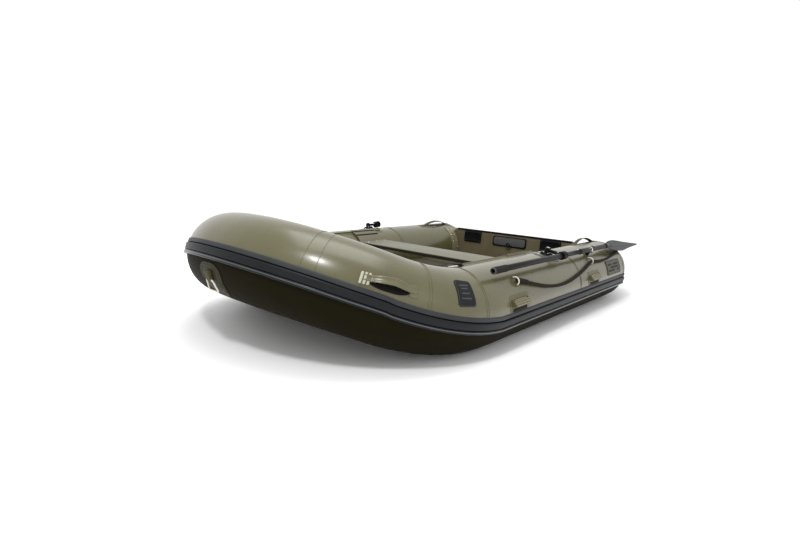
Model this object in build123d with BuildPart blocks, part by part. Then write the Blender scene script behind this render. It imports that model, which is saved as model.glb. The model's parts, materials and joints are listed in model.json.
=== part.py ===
"""Inflatable boat with a raised bow, a plywood transom, a stowed oar and a sliding bench.

Millimetres. +X is forward (the bow), +Y is port and +Z is up. The origin is on the ground, in the
middle of the boat's length and beam. The tubes rest on the ground along their straight sides.

Places on a buoyancy tube are given by a station and an angle. A station is the distance forward along
the tube's axis from the point where the stern cone begins. An angle is measured round the axis from the
level outboard direction, and 90 degrees is the top of the tube.
"""
from build123d import *
from math import cos, radians, sin
import os

os.makedirs("parts", exist_ok=True)

# ---------------------------------------------------------------- driving dimensions
LENGTH = 3170.0            # overall, bow strake to stern cone tips
TUBE_R = 210.0             # buoyancy tubes
AXIS_Y = 730.0             # from the centre plane to each side tube's axis
SHOULDER_X = 838.0         # where the side tube's axis would meet the bow quarter's
NOSE_HALF = 377.0          # half the width between the bow quarters' meeting points with the nose
NOSE_RISE = 230.0          # the nose axis above the side axes
SHOULDER_BEND = 762.0      # bend radii of the hull axis
NOSE_BEND = 651.0

STRAKE_TOP = 0.0           # angles of the rubbing strake's edges on the side tubes
STRAKE_LOW = -22.0
STRAKE_LIFT = 34.0         # how far round the tube the strake has climbed at the nose
STRAKE_EASE = 7.0          # and how much it levels out before the nose
STRAKE_BAND = 11.0         # thickness of its flat band
STRAKE_T = 16.0            # thickness of its bead

CONE_LENGTH = 450.0
CONE_RISE = 20.0           # the tips stand this much above the tubes' axes
CONE_TAPER = 0.74          # share of the radius lost at the tip
CONE_BLUNT = 1.15          # the higher, the later the cone draws in
FIT_GAP = 0.3              # glue line between a tube and what is bonded to it
PATCH_T = 3.0              # reinforcing patches

TRANSOM_TOP = 394.0
TRANSOM_T = 27.0
TRANSOM_RAKE = 5.0
TRANSOM_HALF = 560.0       # half the length of the top edge

DECK_TOP = 180.0
DECK_T = 70.0
SKIN_T = 8.0               # bottom fabric with its inflated keel seam, as one sheet

BENCH_DEPTH = 250.0
BENCH_HALF = 545.0
BENCH_T = 24.0
BENCH_TOP = 358.0
BENCH_X = -7.0             # middle of the bench in its stowed place

OAR_R = 15.0
OAR_SLEEVE_R = 17.0
OAR_OFFSET = 260.0         # oar axis from the tube's axis
OAR_ANGLE = 55.5
PIN_X = -178.0             # oarlock pin
PIN_ANGLE = 78.0
PIN_R = 8.0

ROPE_R = 9.5

# ---------------------------------------------------------------- the hull axis
NOSE_X = LENGTH / 2 - STRAKE_T - TUBE_R
STERN_X = -LENGTH / 2
CONE_BASE_X = STERN_X + CONE_LENGTH
TRANSOM_X = -1102.0        # inner face at the top edge
NOSE_Z = TUBE_R + NOSE_RISE

with BuildLine() as hull_line:
    FilletPolyline(
        (CONE_BASE_X, AXIS_Y, TUBE_R),
        (SHOULDER_X, AXIS_Y, TUBE_R),
        (NOSE_X, NOSE_HALF, NOSE_Z),
        (NOSE_X, -NOSE_HALF, NOSE_Z),
        (SHOULDER_X, -AXIS_Y, TUBE_R),
        (CONE_BASE_X, -AXIS_Y, TUBE_R),
        radius=[SHOULDER_BEND, NOSE_BEND, NOSE_BEND, SHOULDER_BEND],
    )
HULL_AXIS = hull_line.wire()
NOSE_STATION = HULL_AXIS.length / 2
BEND_START = HULL_AXIS.edges()[0].length      # the side tube is straight up to here


def station_at(x):
    """The station of a point beside the straight part of the side tube."""
    return x - CONE_BASE_X


def tube_plane(station):
    """The plane across the tube: local X outboard and level, local Y upward, normal along the axis."""
    origin = HULL_AXIS.position_at(station, position_mode=PositionMode.LENGTH)
    along = HULL_AXIS.tangent_at(station, position_mode=PositionMode.LENGTH)
    outboard = Vector(0, 0, 1).cross(along).normalized()
    return Plane(origin=origin, x_dir=outboard, z_dir=along)


def skin_plane(station, angle, height=0.0):
    """The plane that touches the tube at an angle: local X along the axis, normal pointing outwards."""
    across = tube_plane(station)
    radial = across.x_dir * cos(radians(angle)) + across.y_dir * sin(radians(angle))
    return Plane(origin=across.origin + radial * (TUBE_R + height), x_dir=across.z_dir, z_dir=radial)


def profile_plane(station, angle):
    """The plane through the axis at an angle: local X along the axis, local Y outwards from the skin."""
    skin = skin_plane(station, angle)
    return Plane(origin=skin.origin, x_dir=skin.x_dir, z_dir=skin.x_dir.cross(skin.z_dir))


def turned(plane, angle):
    """The same plane with its local X turned about its normal."""
    x_dir = plane.x_dir * cos(radians(angle)) + plane.y_dir * sin(radians(angle))
    return Plane(origin=plane.origin, x_dir=x_dir, z_dir=plane.z_dir)


def polar(radius, angle):
    """A point in a tube plane."""
    return (radius * cos(radians(angle)), radius * sin(radians(angle)))


def arc_band(inner, outer, start, end):
    """Sketch face between two radii and two angles of a tube plane."""
    middle = (start + end) / 2
    with BuildLine() as outline:
        ThreePointArc(polar(inner, start), polar(inner, middle), polar(inner, end))
        Line(polar(inner, end), polar(outer, end))
        ThreePointArc(polar(outer, end), polar(outer, middle), polar(outer, start))
        Line(polar(outer, start), polar(inner, start))
    make_face(outline.edges())


def axis_piece(start, end):
    """The stretch of the hull axis between two stations."""
    return HULL_AXIS.trim(start / HULL_AXIS.length, end / HULL_AXIS.length)


def sweep_tube(radius, start, end, mode=Mode.ADD):
    """Sweep a round tube between two stations in the current part."""
    path = axis_piece(start, end)
    with BuildSketch(Plane(origin=path @ 0, z_dir=path % 0)) as ring:
        Circle(radius)
    sweep(sections=ring.sketch, path=path, mode=mode)


def keep(piece, name):
    """Label a finished piece and write its STEP file."""
    piece.part.label = name
    export_step(piece.part, f"parts/{name}.step")


def keep_pair(piece, name):
    """Write a port piece and its starboard twin."""
    keep(piece, f"port_{name}")
    with BuildPart() as twin:
        mirror(piece.part, about=Plane.XZ)
    keep(twin, f"starboard_{name}")


# ---------------------------------------------------------------- buoyancy tubes
SHOULDER_SEAM = BEND_START + 105.0
QUARTER_SEAM = BEND_START + 390.0
NOSE_SEAM = BEND_START + 825.0

with BuildPart() as side_tube:
    sweep_tube(TUBE_R, 0, SHOULDER_SEAM)
keep_pair(side_tube, "side_tube")

with BuildPart() as shoulder_tube:
    sweep_tube(TUBE_R, SHOULDER_SEAM, QUARTER_SEAM)
keep_pair(shoulder_tube, "shoulder_tube")

with BuildPart() as quarter_tube:
    sweep_tube(TUBE_R, QUARTER_SEAM, NOSE_SEAM)
keep_pair(quarter_tube, "bow_quarter_tube")

with BuildPart() as bow_tube:
    sweep_tube(TUBE_R, NOSE_SEAM, 2 * NOSE_STATION - NOSE_SEAM)
keep(bow_tube, "bow_tube")

CONE_STEPS = 6


def cone_share(x):
    """How far along the stern cone a place is, from 0 at its base and forward of it to 1 at its tip."""
    return max(CONE_BASE_X - x, 0) / CONE_LENGTH


def cone_radius(share):
    """The cone's radius, which shrinks faster towards the tip."""
    return TUBE_R * (1 - CONE_TAPER * share**CONE_BLUNT)


def cone_axis_z(share):
    """The height of the cone's middle, which climbs towards the tip."""
    return TUBE_R + CONE_RISE * share**2


with BuildPart() as stern_cone:
    for step in range(CONE_STEPS + 1):
        share = step / CONE_STEPS
        centre = (CONE_BASE_X - share * CONE_LENGTH, AXIS_Y, cone_axis_z(share))
        with BuildSketch(Plane(origin=centre, x_dir=(0, 1, 0), z_dir=(-1, 0, 0))):
            Circle(cone_radius(share))
    loft()
keep_pair(stern_cone, "stern_cone")


# ---------------------------------------------------------------- rubbing strake
BEAD_ARC = 5.0             # degrees of the strake's lower edge that the bead takes up


def strake_section(lift):
    """The strake's section in a tube plane: a flat band with a bead along its lower edge."""
    top = STRAKE_TOP + lift
    low = STRAKE_LOW + lift
    bead_top = low + BEAD_ARC
    inner = TUBE_R + FIT_GAP
    band = TUBE_R + STRAKE_BAND
    with BuildLine() as outline:
        ThreePointArc(polar(inner, low), polar(inner, (low + top) / 2), polar(inner, top))
        Line(polar(inner, top), polar(band, top))
        ThreePointArc(polar(band, top), polar(band, (top + bead_top) / 2), polar(band, bead_top))
        ThreePointArc(polar(band, bead_top), polar(TUBE_R + STRAKE_T, low + BEAD_ARC / 2), polar(inner, low))
    make_face(outline.edges())


def strake_lift(station):
    """How far round the tube the strake has climbed at a station."""
    climb = (station - BEND_START) / (NOSE_STATION - BEND_START)
    ease = max(climb - 0.6, 0) / 0.4
    return STRAKE_LIFT * climb - STRAKE_EASE * ease**2


with BuildPart() as side_strake:
    with BuildSketch(tube_plane(0)):
        strake_section(0)
    extrude(amount=BEND_START)
keep_pair(side_strake, "side_strake")

STRAKE_STEPS = 12
with BuildPart() as bow_strake:
    for step in range(STRAKE_STEPS + 1):
        strake_station = BEND_START + (NOSE_STATION - BEND_START) * step / STRAKE_STEPS
        with BuildSketch(tube_plane(strake_station)):
            strake_section(strake_lift(strake_station))
    loft()
keep_pair(bow_strake, "bow_strake")


# ---------------------------------------------------------------- floor and bottom
def cut_by_tubes(gap, reach=0.0):
    """Cut the current part back from the tubes and, where it reaches aft of them, from the cones."""
    sweep_tube(TUBE_R + gap, 0, HULL_AXIS.length, mode=Mode.SUBTRACT)
    if reach > 0:
        for side in (-1, 1):
            with BuildSketch(Plane(origin=(CONE_BASE_X, side * AXIS_Y, TUBE_R), z_dir=(-1, 0, 0))) as ring:
                Circle(TUBE_R + gap)
            extrude(to_extrude=ring.sketch, amount=reach, mode=Mode.SUBTRACT)


DECK_AFT = TRANSOM_X + 104.0
DECK_FORE = 1015.0
DECK_HALF = 560.0
DECK_NOSE_HALF = 150.0

with BuildPart() as floor_deck:
    with BuildSketch(Plane.XY.offset(DECK_TOP - DECK_T)):
        with BuildLine():
            Polyline(
                (DECK_FORE, -DECK_NOSE_HALF), (SHOULDER_X - 120, -DECK_HALF), (DECK_AFT, -DECK_HALF),
                (DECK_AFT, DECK_HALF), (SHOULDER_X - 120, DECK_HALF), (DECK_FORE, DECK_NOSE_HALF),
            )
            ThreePointArc((DECK_FORE, DECK_NOSE_HALF), (DECK_FORE + 45, 0), (DECK_FORE, -DECK_NOSE_HALF))
        make_face()
    extrude(amount=DECK_T)
    cut_by_tubes(FIT_GAP)
keep(floor_deck, "floor_deck")

# Stations of the bottom sheet: distance forward, half width, height of its edges, height of the keel.
SKIN_RIBS = [
    (TRANSOM_X + 10, 640, 30, 14),
    (SHOULDER_X - 250, 640, 30, 8),
    (SHOULDER_X, 610, 48, 10),
    (SHOULDER_X + 200, 500, 120, 60),
    (SHOULDER_X + 360, 360, 215, 150),
    (NOSE_X - 60, 170, 262, 255),
]

with BuildPart() as bottom_skin:
    for rib_x, half, edge_z, keel_z in SKIN_RIBS:
        with BuildSketch(Plane(origin=(rib_x, 0, 0), x_dir=(0, 1, 0), z_dir=(1, 0, 0))):
            with BuildLine():
                Polyline(
                    (-half, edge_z), (0, keel_z), (half, edge_z),
                    (half, edge_z + SKIN_T), (0, keel_z + SKIN_T), (-half, edge_z + SKIN_T),
                    close=True,
                )
            make_face()
    loft(ruled=True)
    cut_by_tubes(FIT_GAP)
keep(bottom_skin, "bottom_skin")


# ---------------------------------------------------------------- transom
FLANGE_T = 5.0
FLANGE_WIDTH = 150.0
FLANGE_AFT = 50.0          # how much of it is aft of the board's face
FLANGE_TOP = 118.0         # angles of the bonded flange on the tube
FLANGE_LOW = 228.0

# The transom plane lies on the board's inner face: local X to port, local Y up the board, which leans aft.
RAKE = radians(TRANSOM_RAKE)
TRANSOM_FACE = Plane(
    origin=(TRANSOM_X, 0, TRANSOM_TOP), x_dir=(0, 1, 0), z_dir=(cos(RAKE), 0, sin(RAKE))
)

with BuildPart() as transom_board:
    with BuildSketch(TRANSOM_FACE):
        with BuildLine():
            Polyline(
                (-TRANSOM_HALF, 0), (TRANSOM_HALF, 0), (TRANSOM_HALF + 60, -70), (TRANSOM_HALF + 40, -240),
                (470, -346), (0, -366), (-470, -346), (-TRANSOM_HALF - 40, -240), (-TRANSOM_HALF - 60, -70),
                close=True,
            )
        make_face()
    extrude(amount=-TRANSOM_T)
    cut_by_tubes(FLANGE_T + 2 * FIT_GAP, reach=60)
keep(transom_board, "transom_board")

with BuildPart() as transom_flange:
    flange_start = (TRANSOM_X - FLANGE_AFT, AXIS_Y, TUBE_R)
    with BuildSketch(Plane(origin=flange_start, x_dir=(0, 1, 0), z_dir=(1, 0, 0))):
        arc_band(TUBE_R + FIT_GAP, TUBE_R + FLANGE_T, FLANGE_TOP, FLANGE_LOW)
    extrude(amount=FLANGE_WIDTH)
keep_pair(transom_flange, "transom_flange")

TRIM_T = 4.0
TRIM_DROP = 11.0
TRIM_HALF = TRANSOM_HALF - 20
with BuildPart() as transom_trim:
    with BuildSketch(TRANSOM_FACE.offset(TRIM_T)):
        with Locations((0, (TRIM_T - TRIM_DROP) / 2)):
            RectangleRounded(2 * TRIM_HALF, TRIM_T + TRIM_DROP, 6)
    extrude(amount=-TRANSOM_T - 2 * TRIM_T)
    with BuildSketch(TRANSOM_FACE.offset(FIT_GAP)):
        with Locations((0, FIT_GAP - TRIM_DROP)):
            Rectangle(2 * TRIM_HALF + 10, 2 * TRIM_DROP)
    extrude(amount=-TRANSOM_T - 2 * FIT_GAP, mode=Mode.SUBTRACT)
keep(transom_trim, "transom_trim")

PAD_T = 8.0
MOTOR_PAD_HALF = 175.0
INNER_PAD_LENGTH = 320.0
INNER_PAD_HEIGHT = 88.0
with BuildPart() as motor_pad_inner:
    with BuildSketch(TRANSOM_FACE.offset(FIT_GAP)):
        with Locations((0, -68)):
            RectangleRounded(INNER_PAD_LENGTH, INNER_PAD_HEIGHT, 18)
    extrude(amount=PAD_T)
keep(motor_pad_inner, "motor_pad_inner")

with BuildPart() as motor_pad_outer:
    with BuildSketch(TRANSOM_FACE.offset(-TRANSOM_T - FIT_GAP)):
        with Locations((0, -136)):
            RectangleRounded(2 * MOTOR_PAD_HALF, 210, 18)
    extrude(amount=-PAD_T)
keep(motor_pad_outer, "motor_pad_outer")

with BuildPart() as side_pads:
    with BuildSketch(TRANSOM_FACE.offset(FIT_GAP)):
        with Locations((-370, -60), (370, -60)):
            RectangleRounded(176, 96, 6)
    extrude(amount=PAD_T)
keep(side_pads, "transom_side_pads")

with BuildPart() as drain_plug:
    with BuildSketch(TRANSOM_FACE.offset(PAD_T + 2 * FIT_GAP)):
        with Locations((0, -100)):
            Circle(30)
            Circle(22, mode=Mode.SUBTRACT)
    extrude(amount=6)
    with BuildSketch(TRANSOM_FACE.offset(PAD_T + 2 * FIT_GAP)):
        with Locations((0, -92)):
            Circle(14)
    extrude(amount=12)
keep(drain_plug, "drain_plug")


# ---------------------------------------------------------------- fittings bonded to the skin
RING_WIRE = 3.5
RING_FOOT_DEPTH = -2.0     # rings start just under the skin and are trimmed back to it


def standing_ring(foot, inner):
    """A half ring of round wire standing on a plane, in the plane of its local X and its normal."""
    upright = Plane(origin=foot.origin, x_dir=foot.x_dir, z_dir=foot.x_dir.cross(foot.z_dir))
    radius = inner + RING_WIRE
    leg = 5.0
    with BuildLine(upright) as loop_line:
        Line((-radius, 0), (-radius, leg))
        ThreePointArc((-radius, leg), (0, radius + leg), (radius, leg))
        Line((radius, leg), (radius, 0))
    loop_path = loop_line.wire()
    with BuildSketch(Plane(origin=loop_path @ 0, z_dir=loop_path % 0)) as wire_section:
        Circle(RING_WIRE)
    sweep(sections=wire_section.sketch, path=loop_path)


def skin_pad(station, angle, length, width, corner, thickness, base=FIT_GAP):
    """A pad with rounded corners that follows the tube's skin."""
    reach = 60.0
    with BuildSketch(skin_plane(station, angle, -reach)) as outline:
        RectangleRounded(length, width, corner)
    extrude(to_extrude=outline.sketch, amount=2 * reach)
    sweep_tube(TUBE_R + base + thickness, station - length, station + length, mode=Mode.INTERSECT)
    sweep_tube(TUBE_R + base, station - length - 20, station + length + 20, mode=Mode.SUBTRACT)


# ---------------------------------------------------------------- bench on its rails
RAIL_FORE = 558.0
RAIL_AFT = -212.0
RAIL_ANGLE = 108.0
RAIL_BASE_ARC = 12.0       # degrees of tube that the bonded strip covers
RAIL_BASE_T = 4.0
RIDGE_W = 12.0
RIDGE_H = 14.0             # above the tube
RIDGE_INSET = 15.0         # the ridge stops short of the strip's ends

# A black block closes the fore end of each rail.
with BuildPart() as rail_stop:
    skin_pad(station_at(RAIL_FORE + 32), RAIL_ANGLE, 46, 40, 6, 16)

with BuildPart() as seat_rail:
    with BuildSketch(tube_plane(station_at(RAIL_AFT))):
        arc_band(
            TUBE_R + FIT_GAP, TUBE_R + RAIL_BASE_T,
            RAIL_ANGLE - RAIL_BASE_ARC / 2, RAIL_ANGLE + RAIL_BASE_ARC / 2,
        )
    extrude(amount=RAIL_FORE - RAIL_AFT)
    with BuildSketch(profile_plane(station_at((RAIL_FORE + RAIL_AFT) / 2), RAIL_ANGLE)):
        with Locations((0, RIDGE_H / 2 + 1)):
            Rectangle(RAIL_FORE - RAIL_AFT - 2 * RIDGE_INSET, RIDGE_H - 2)
    extrude(amount=RIDGE_W / 2, both=True)
    add(rail_stop.part)
keep_pair(seat_rail, "seat_rail")

BRACKET_T = 4.0
BRACKET_LENGTH = 226.0
BRACKET_GAP = 1.0          # running clearance over the rail's ridge
SHELF_LOW = BENCH_TOP - BENCH_T - BRACKET_T
SHELF_WIDTH = 68.0
HOOK_HALF = RIDGE_W / 2 + BRACKET_GAP + BRACKET_T
HOOK_LOW = 5.0             # the hook's edges stop above the bonded strip
LEG_INNER = TUBE_R + 9.0
LEG_TOP_ANGLE = RAIL_ANGLE + 2.2
LEG_LOW_ANGLE = 146.0

# Each bracket hooks over the ridge, follows the tube down and turns in under the end of the board.
with BuildPart() as bench_bracket:
    with BuildSketch(profile_plane(station_at(BENCH_X), RAIL_ANGLE)):
        with Locations((0, HOOK_LOW + RIDGE_H / 2)):
            Rectangle(BRACKET_LENGTH, RIDGE_H)
    extrude(amount=HOOK_HALF, both=True)
    with BuildSketch(tube_plane(station_at(BENCH_X - BRACKET_LENGTH / 2))):
        arc_band(LEG_INNER, LEG_INNER + BRACKET_T, LEG_TOP_ANGLE, LEG_LOW_ANGLE)
    extrude(amount=BRACKET_LENGTH)
    leg_foot = AXIS_Y + (LEG_INNER + BRACKET_T / 2) * cos(radians(LEG_LOW_ANGLE))
    with BuildSketch(Plane.XY.offset(SHELF_LOW)):
        with Locations((BENCH_X, leg_foot - SHELF_WIDTH / 2)):
            Rectangle(BRACKET_LENGTH, SHELF_WIDTH)
    extrude(amount=BRACKET_T)
    with BuildSketch(profile_plane(station_at(BENCH_X), RAIL_ANGLE)):
        with Locations((0, RIDGE_H / 2)):
            Rectangle(BRACKET_LENGTH + 10, RIDGE_H + 2 * BRACKET_GAP)
    extrude(amount=RIDGE_W / 2 + BRACKET_GAP, both=True, mode=Mode.SUBTRACT)
keep_pair(bench_bracket, "bench_bracket")

with BuildPart() as bench_board:
    with BuildSketch(Plane.XY.offset(SHELF_LOW + BRACKET_T)):
        with Locations((BENCH_X, 0)):
            RectangleRounded(BENCH_DEPTH, 2 * BENCH_HALF, 14)
    extrude(amount=BENCH_T)
    fillet(bench_board.edges().group_by(Axis.Z)[-1], 5)
keep(bench_board, "bench_board")


# ---------------------------------------------------------------- oar, stowed on the port side
OAR_Y = AXIS_Y + polar(OAR_OFFSET, OAR_ANGLE)[0]
OAR_Z = TUBE_R + polar(OAR_OFFSET, OAR_ANGLE)[1]
GRIP_END = 596.0
GRIP_LENGTH = 118.0
BLADE_ROOT = -858.0
BLADE_LENGTH = 712.0
BLADE_HALF = 52.0
BLADE_DROOP = 3.4          # degrees that the blade leans down from the shaft's line
BLADE_ANGLE = 50.0         # its face looks this much up from level outboard
BLADE_T = 8.0
BLADE_NECK = 150.0
CLIP_X = -612.0

# Each stretch of the shaft: its fore end, its after end and its radius.
SHAFT_STEPS = [
    (GRIP_END - GRIP_LENGTH, PIN_X - 40, OAR_SLEEVE_R - 1),
    (PIN_X - 40, CLIP_X + 190, OAR_R - 1),
    (CLIP_X + 190, CLIP_X - 20, OAR_SLEEVE_R),
    (CLIP_X - 20, BLADE_ROOT, OAR_R),
]

with BuildPart() as oar_shaft:
    for fore, aft, radius in SHAFT_STEPS:
        with BuildSketch(Plane(origin=(fore, OAR_Y, OAR_Z), z_dir=(-1, 0, 0))):
            Circle(radius)
        extrude(amount=fore - aft)
keep(oar_shaft, "port_oar_shaft")

with BuildPart() as oar_grip:
    with BuildSketch(Plane(origin=(GRIP_END, OAR_Y, OAR_Z), z_dir=(-1, 0, 0))):
        Circle(OAR_SLEEVE_R + 1)
    extrude(amount=GRIP_LENGTH)
    fillet(oar_grip.edges().sort_by(Axis.X)[-1], 6)
keep(oar_grip, "port_oar_grip")

# The blade is a leaf that leans down a little from the shaft's line, with a socket for the shaft at its root.
blade_along = Vector(-cos(radians(BLADE_DROOP)), 0, -sin(radians(BLADE_DROOP)))
blade_up = Vector(0, cos(radians(BLADE_ANGLE)), sin(radians(BLADE_ANGLE)))
BLADE_FACE = Plane(
    origin=(BLADE_ROOT, OAR_Y, OAR_Z),
    x_dir=blade_along,
    z_dir=(blade_up - blade_along * blade_up.dot(blade_along)).normalized(),
)
with BuildPart() as oar_blade:
    with BuildSketch(BLADE_FACE.offset(-BLADE_T / 2)):
        with BuildLine():
            Spline((2, 17), (95, 36), (215, BLADE_HALF), (260, BLADE_HALF), (450, 28), (BLADE_LENGTH, 5))
            Line((BLADE_LENGTH, 5), (BLADE_LENGTH, -5))
            Spline((BLADE_LENGTH, -5), (450, -28), (260, -BLADE_HALF), (215, -BLADE_HALF), (95, -36), (2, -17))
            Line((2, -17), (2, 17))
        make_face()
    extrude(amount=BLADE_T)
    with BuildSketch(Plane(origin=(BLADE_ROOT, OAR_Y, OAR_Z), z_dir=(-1, 0, 0))):
        Circle(OAR_R + 3)
    extrude(amount=BLADE_NECK, taper=5)
keep(oar_blade, "port_oar_blade")

# ---------------------------------------------------------------- oarlocks
PIN_FOOT = skin_plane(station_at(PIN_X), PIN_ANGLE)     # its local Y points outboard
BASE_PATCH_R = 84.0
BOSS_R = 36.0
BOSS_TOP = 16.0
HUB_TOP = 40.0
HUB_R = 17.0
CAP_R = 13.0
CAP_T = 5.0

with BuildPart() as oarlock_base:
    with BuildSketch(PIN_FOOT.offset(-60)):
        Circle(BASE_PATCH_R)
    extrude(amount=120)
    sweep_tube(TUBE_R + PATCH_T, station_at(PIN_X - 150), station_at(PIN_X + 150), mode=Mode.INTERSECT)
    with BuildSketch(PIN_FOOT.offset(-12)):
        Circle(BOSS_R)
    extrude(amount=BOSS_TOP + 12, taper=14)
    with BuildSketch(PIN_FOOT.offset(BOSS_TOP)):
        Circle(PIN_R)
    extrude(amount=HUB_TOP - BOSS_TOP + 3)
    with BuildSketch(PIN_FOOT.offset(HUB_TOP + 2)):
        Circle(CAP_R)
    extrude(amount=CAP_T)
    sweep_tube(TUBE_R + FIT_GAP, station_at(PIN_X - 170), station_at(PIN_X + 170), mode=Mode.SUBTRACT)
keep_pair(oarlock_base, "oarlock_base")

# The rowlock turns on the pin. Its arm reaches outboard to a collar round the shaft.
ARM_REACH = OAR_OFFSET * sin(radians(PIN_ANGLE - OAR_ANGLE))
ARM_HEIGHT = OAR_OFFSET * cos(radians(PIN_ANGLE - OAR_ANGLE)) - TUBE_R
ARM_WIDTH = 26.0
ARM_T = 18.0
COLLAR_R = 25.0
COLLAR_LENGTH = 46.0
COLLAR_GAP = 0.2           # collar round the shaft
RUN_GAP = 0.05             # pin in hub

with BuildPart() as rowlock:
    with BuildSketch(PIN_FOOT.offset(BOSS_TOP + 1)):
        Circle(HUB_R)
    extrude(amount=HUB_TOP - BOSS_TOP - 1)
    with BuildSketch(PIN_FOOT.offset(ARM_HEIGHT - ARM_T / 2)):
        with Locations((0, ARM_REACH / 2)):
            Rectangle(ARM_WIDTH, ARM_REACH)
    extrude(amount=ARM_T)
    with BuildSketch(Plane(origin=(PIN_X + COLLAR_LENGTH / 2, OAR_Y, OAR_Z), z_dir=(-1, 0, 0))):
        Circle(COLLAR_R)
    extrude(amount=COLLAR_LENGTH)
    with BuildSketch(Plane(origin=(PIN_X + COLLAR_LENGTH, OAR_Y, OAR_Z), z_dir=(-1, 0, 0))):
        Circle(OAR_SLEEVE_R - 1 + COLLAR_GAP)
    extrude(amount=2 * COLLAR_LENGTH, mode=Mode.SUBTRACT)
    with BuildSketch(PIN_FOOT.offset(BOSS_TOP)):
        Circle(PIN_R + RUN_GAP)
    extrude(amount=HUB_TOP, mode=Mode.SUBTRACT)
keep(rowlock, "port_rowlock")

# The empty rowlock to starboard rests turned back, with its arm pointing aft.
EMPTY_TURN = -90.0
with BuildPart() as empty_rowlock:
    add(rowlock.part.rotate(Axis(PIN_FOOT.origin, -PIN_FOOT.z_dir), EMPTY_TURN).mirror(Plane.XZ))
keep(empty_rowlock, "starboard_rowlock")

# The stowed shaft lies in a U clip that is open outboard, the way the oar swings out.
CLIP_GAP = 1.0
CLIP_WALL = 4.0
CLIP_WIDTH = 22.0
CLIP_JAW = 12.0
CLIP_FOOT_R = 30.0
CLIP_PLANE = Plane(
    origin=(CLIP_X + CLIP_WIDTH / 2, OAR_Y, OAR_Z),
    x_dir=(0, sin(radians(PIN_ANGLE)), -cos(radians(PIN_ANGLE))),
    z_dir=(-1, 0, 0),
)
CLIP_INNER = OAR_SLEEVE_R + CLIP_GAP
CLIP_OUTER = CLIP_INNER + CLIP_WALL
CLIP_FOOT = skin_plane(station_at(CLIP_X), OAR_ANGLE)

with BuildPart() as oar_clip:
    with BuildSketch(CLIP_FOOT.offset(-10)):
        Circle(CLIP_FOOT_R)
    extrude(amount=20)
    sweep_tube(TUBE_R + PATCH_T, station_at(CLIP_X - 60), station_at(CLIP_X + 60), mode=Mode.INTERSECT)
    with BuildSketch(CLIP_FOOT.offset(-2)):
        Rectangle(CLIP_WIDTH, 22)
    extrude(amount=OAR_OFFSET - TUBE_R - CLIP_OUTER + 4)
    with BuildSketch(CLIP_PLANE):
        Circle(CLIP_OUTER)
        with Locations((CLIP_JAW / 2, 0)):
            Rectangle(CLIP_JAW, 2 * CLIP_OUTER)
        with Locations((CLIP_JAW / 2 + CLIP_OUTER, 0)):
            Rectangle(2 * CLIP_OUTER - CLIP_JAW, 2 * CLIP_OUTER + 2, mode=Mode.SUBTRACT)
    extrude(amount=CLIP_WIDTH)
    with BuildSketch(CLIP_PLANE.offset(-CLIP_WIDTH)):
        Circle(CLIP_INNER)
        with Locations((CLIP_INNER, 0)):
            Rectangle(2 * CLIP_INNER, 2 * CLIP_INNER)
    extrude(amount=3 * CLIP_WIDTH, mode=Mode.SUBTRACT)
    sweep_tube(TUBE_R + FIT_GAP, station_at(CLIP_X - 70), station_at(CLIP_X + 70), mode=Mode.SUBTRACT)
keep(oar_clip, "port_oar_clip")


# ---------------------------------------------------------------- handles
def strap_handle(station, angle, span, rise, tab, thickness, width):
    """A strap that arches over the skin between two flat ends, cut to the tube's curve below."""
    half = span / 2
    low = -30.0
    with BuildSketch(profile_plane(station, angle)) as strap_profile:
        with BuildLine():
            Line((-half - tab, low), (-half - tab, thickness))
            Line((-half - tab, thickness), (-half, thickness + 4))
            ThreePointArc((-half, thickness + 4), (0, rise + thickness), (half, thickness + 4))
            Line((half, thickness + 4), (half + tab, thickness))
            Line((half + tab, thickness), (half + tab, low))
            Line((half + tab, low), (half, low))
            Line((half, low), (half, 2))
            ThreePointArc((half, 2), (0, rise), (-half, 2))
            Line((-half, 2), (-half, low))
            Line((-half, low), (-half - tab, low))
        make_face()
    extrude(to_extrude=strap_profile.sketch, amount=width / 2, both=True)
    sweep_tube(TUBE_R + FIT_GAP, station - span, station + span, mode=Mode.SUBTRACT)


BOW_HANDLE_STATION = BEND_START + 553.0
with BuildPart() as bow_handle:
    strap_handle(BOW_HANDLE_STATION, 28, span=150, rise=34, tab=30, thickness=8, width=40)
keep_pair(bow_handle, "bow_handle")

INNER_STRAP_X = -940.0
INNER_STRAP_ANGLE = 101.0
with BuildPart() as inner_strap:
    strap_handle(station_at(INNER_STRAP_X), INNER_STRAP_ANGLE, span=290, rise=34, tab=45, thickness=4, width=26)
keep_pair(inner_strap, "inner_strap")

# Scoop handles: a hood at the top of a back plate, with a hand pocket that is open below.
SCOOP_LENGTH = 150.0
SCOOP_WALL = 5.0
SCOOP_PLACES = (413.0, -562.0)
# Height above the skin and angle of the hood over its back plate, and of the hand pocket under it.
SCOOP_OUTER = [(0, 17.5), (9, 16.7), (20, 13.5), (28, 9.5), (28, 8), (2.5, 8), (2.5, 0.6), (0, 0.6)]
SCOOP_POCKET = [(2.5, 15), (9, 14.2), (17, 11.6), (23.5, 8.9), (23.5, 6.5), (2.5, 6.5)]


def scoop_face(points):
    """The closed outline of a scoop's section in a tube plane."""
    with BuildLine() as outline:
        Polyline(*[polar(TUBE_R + height, angle) for height, angle in points], close=True)
    make_face(outline.edges())


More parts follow.
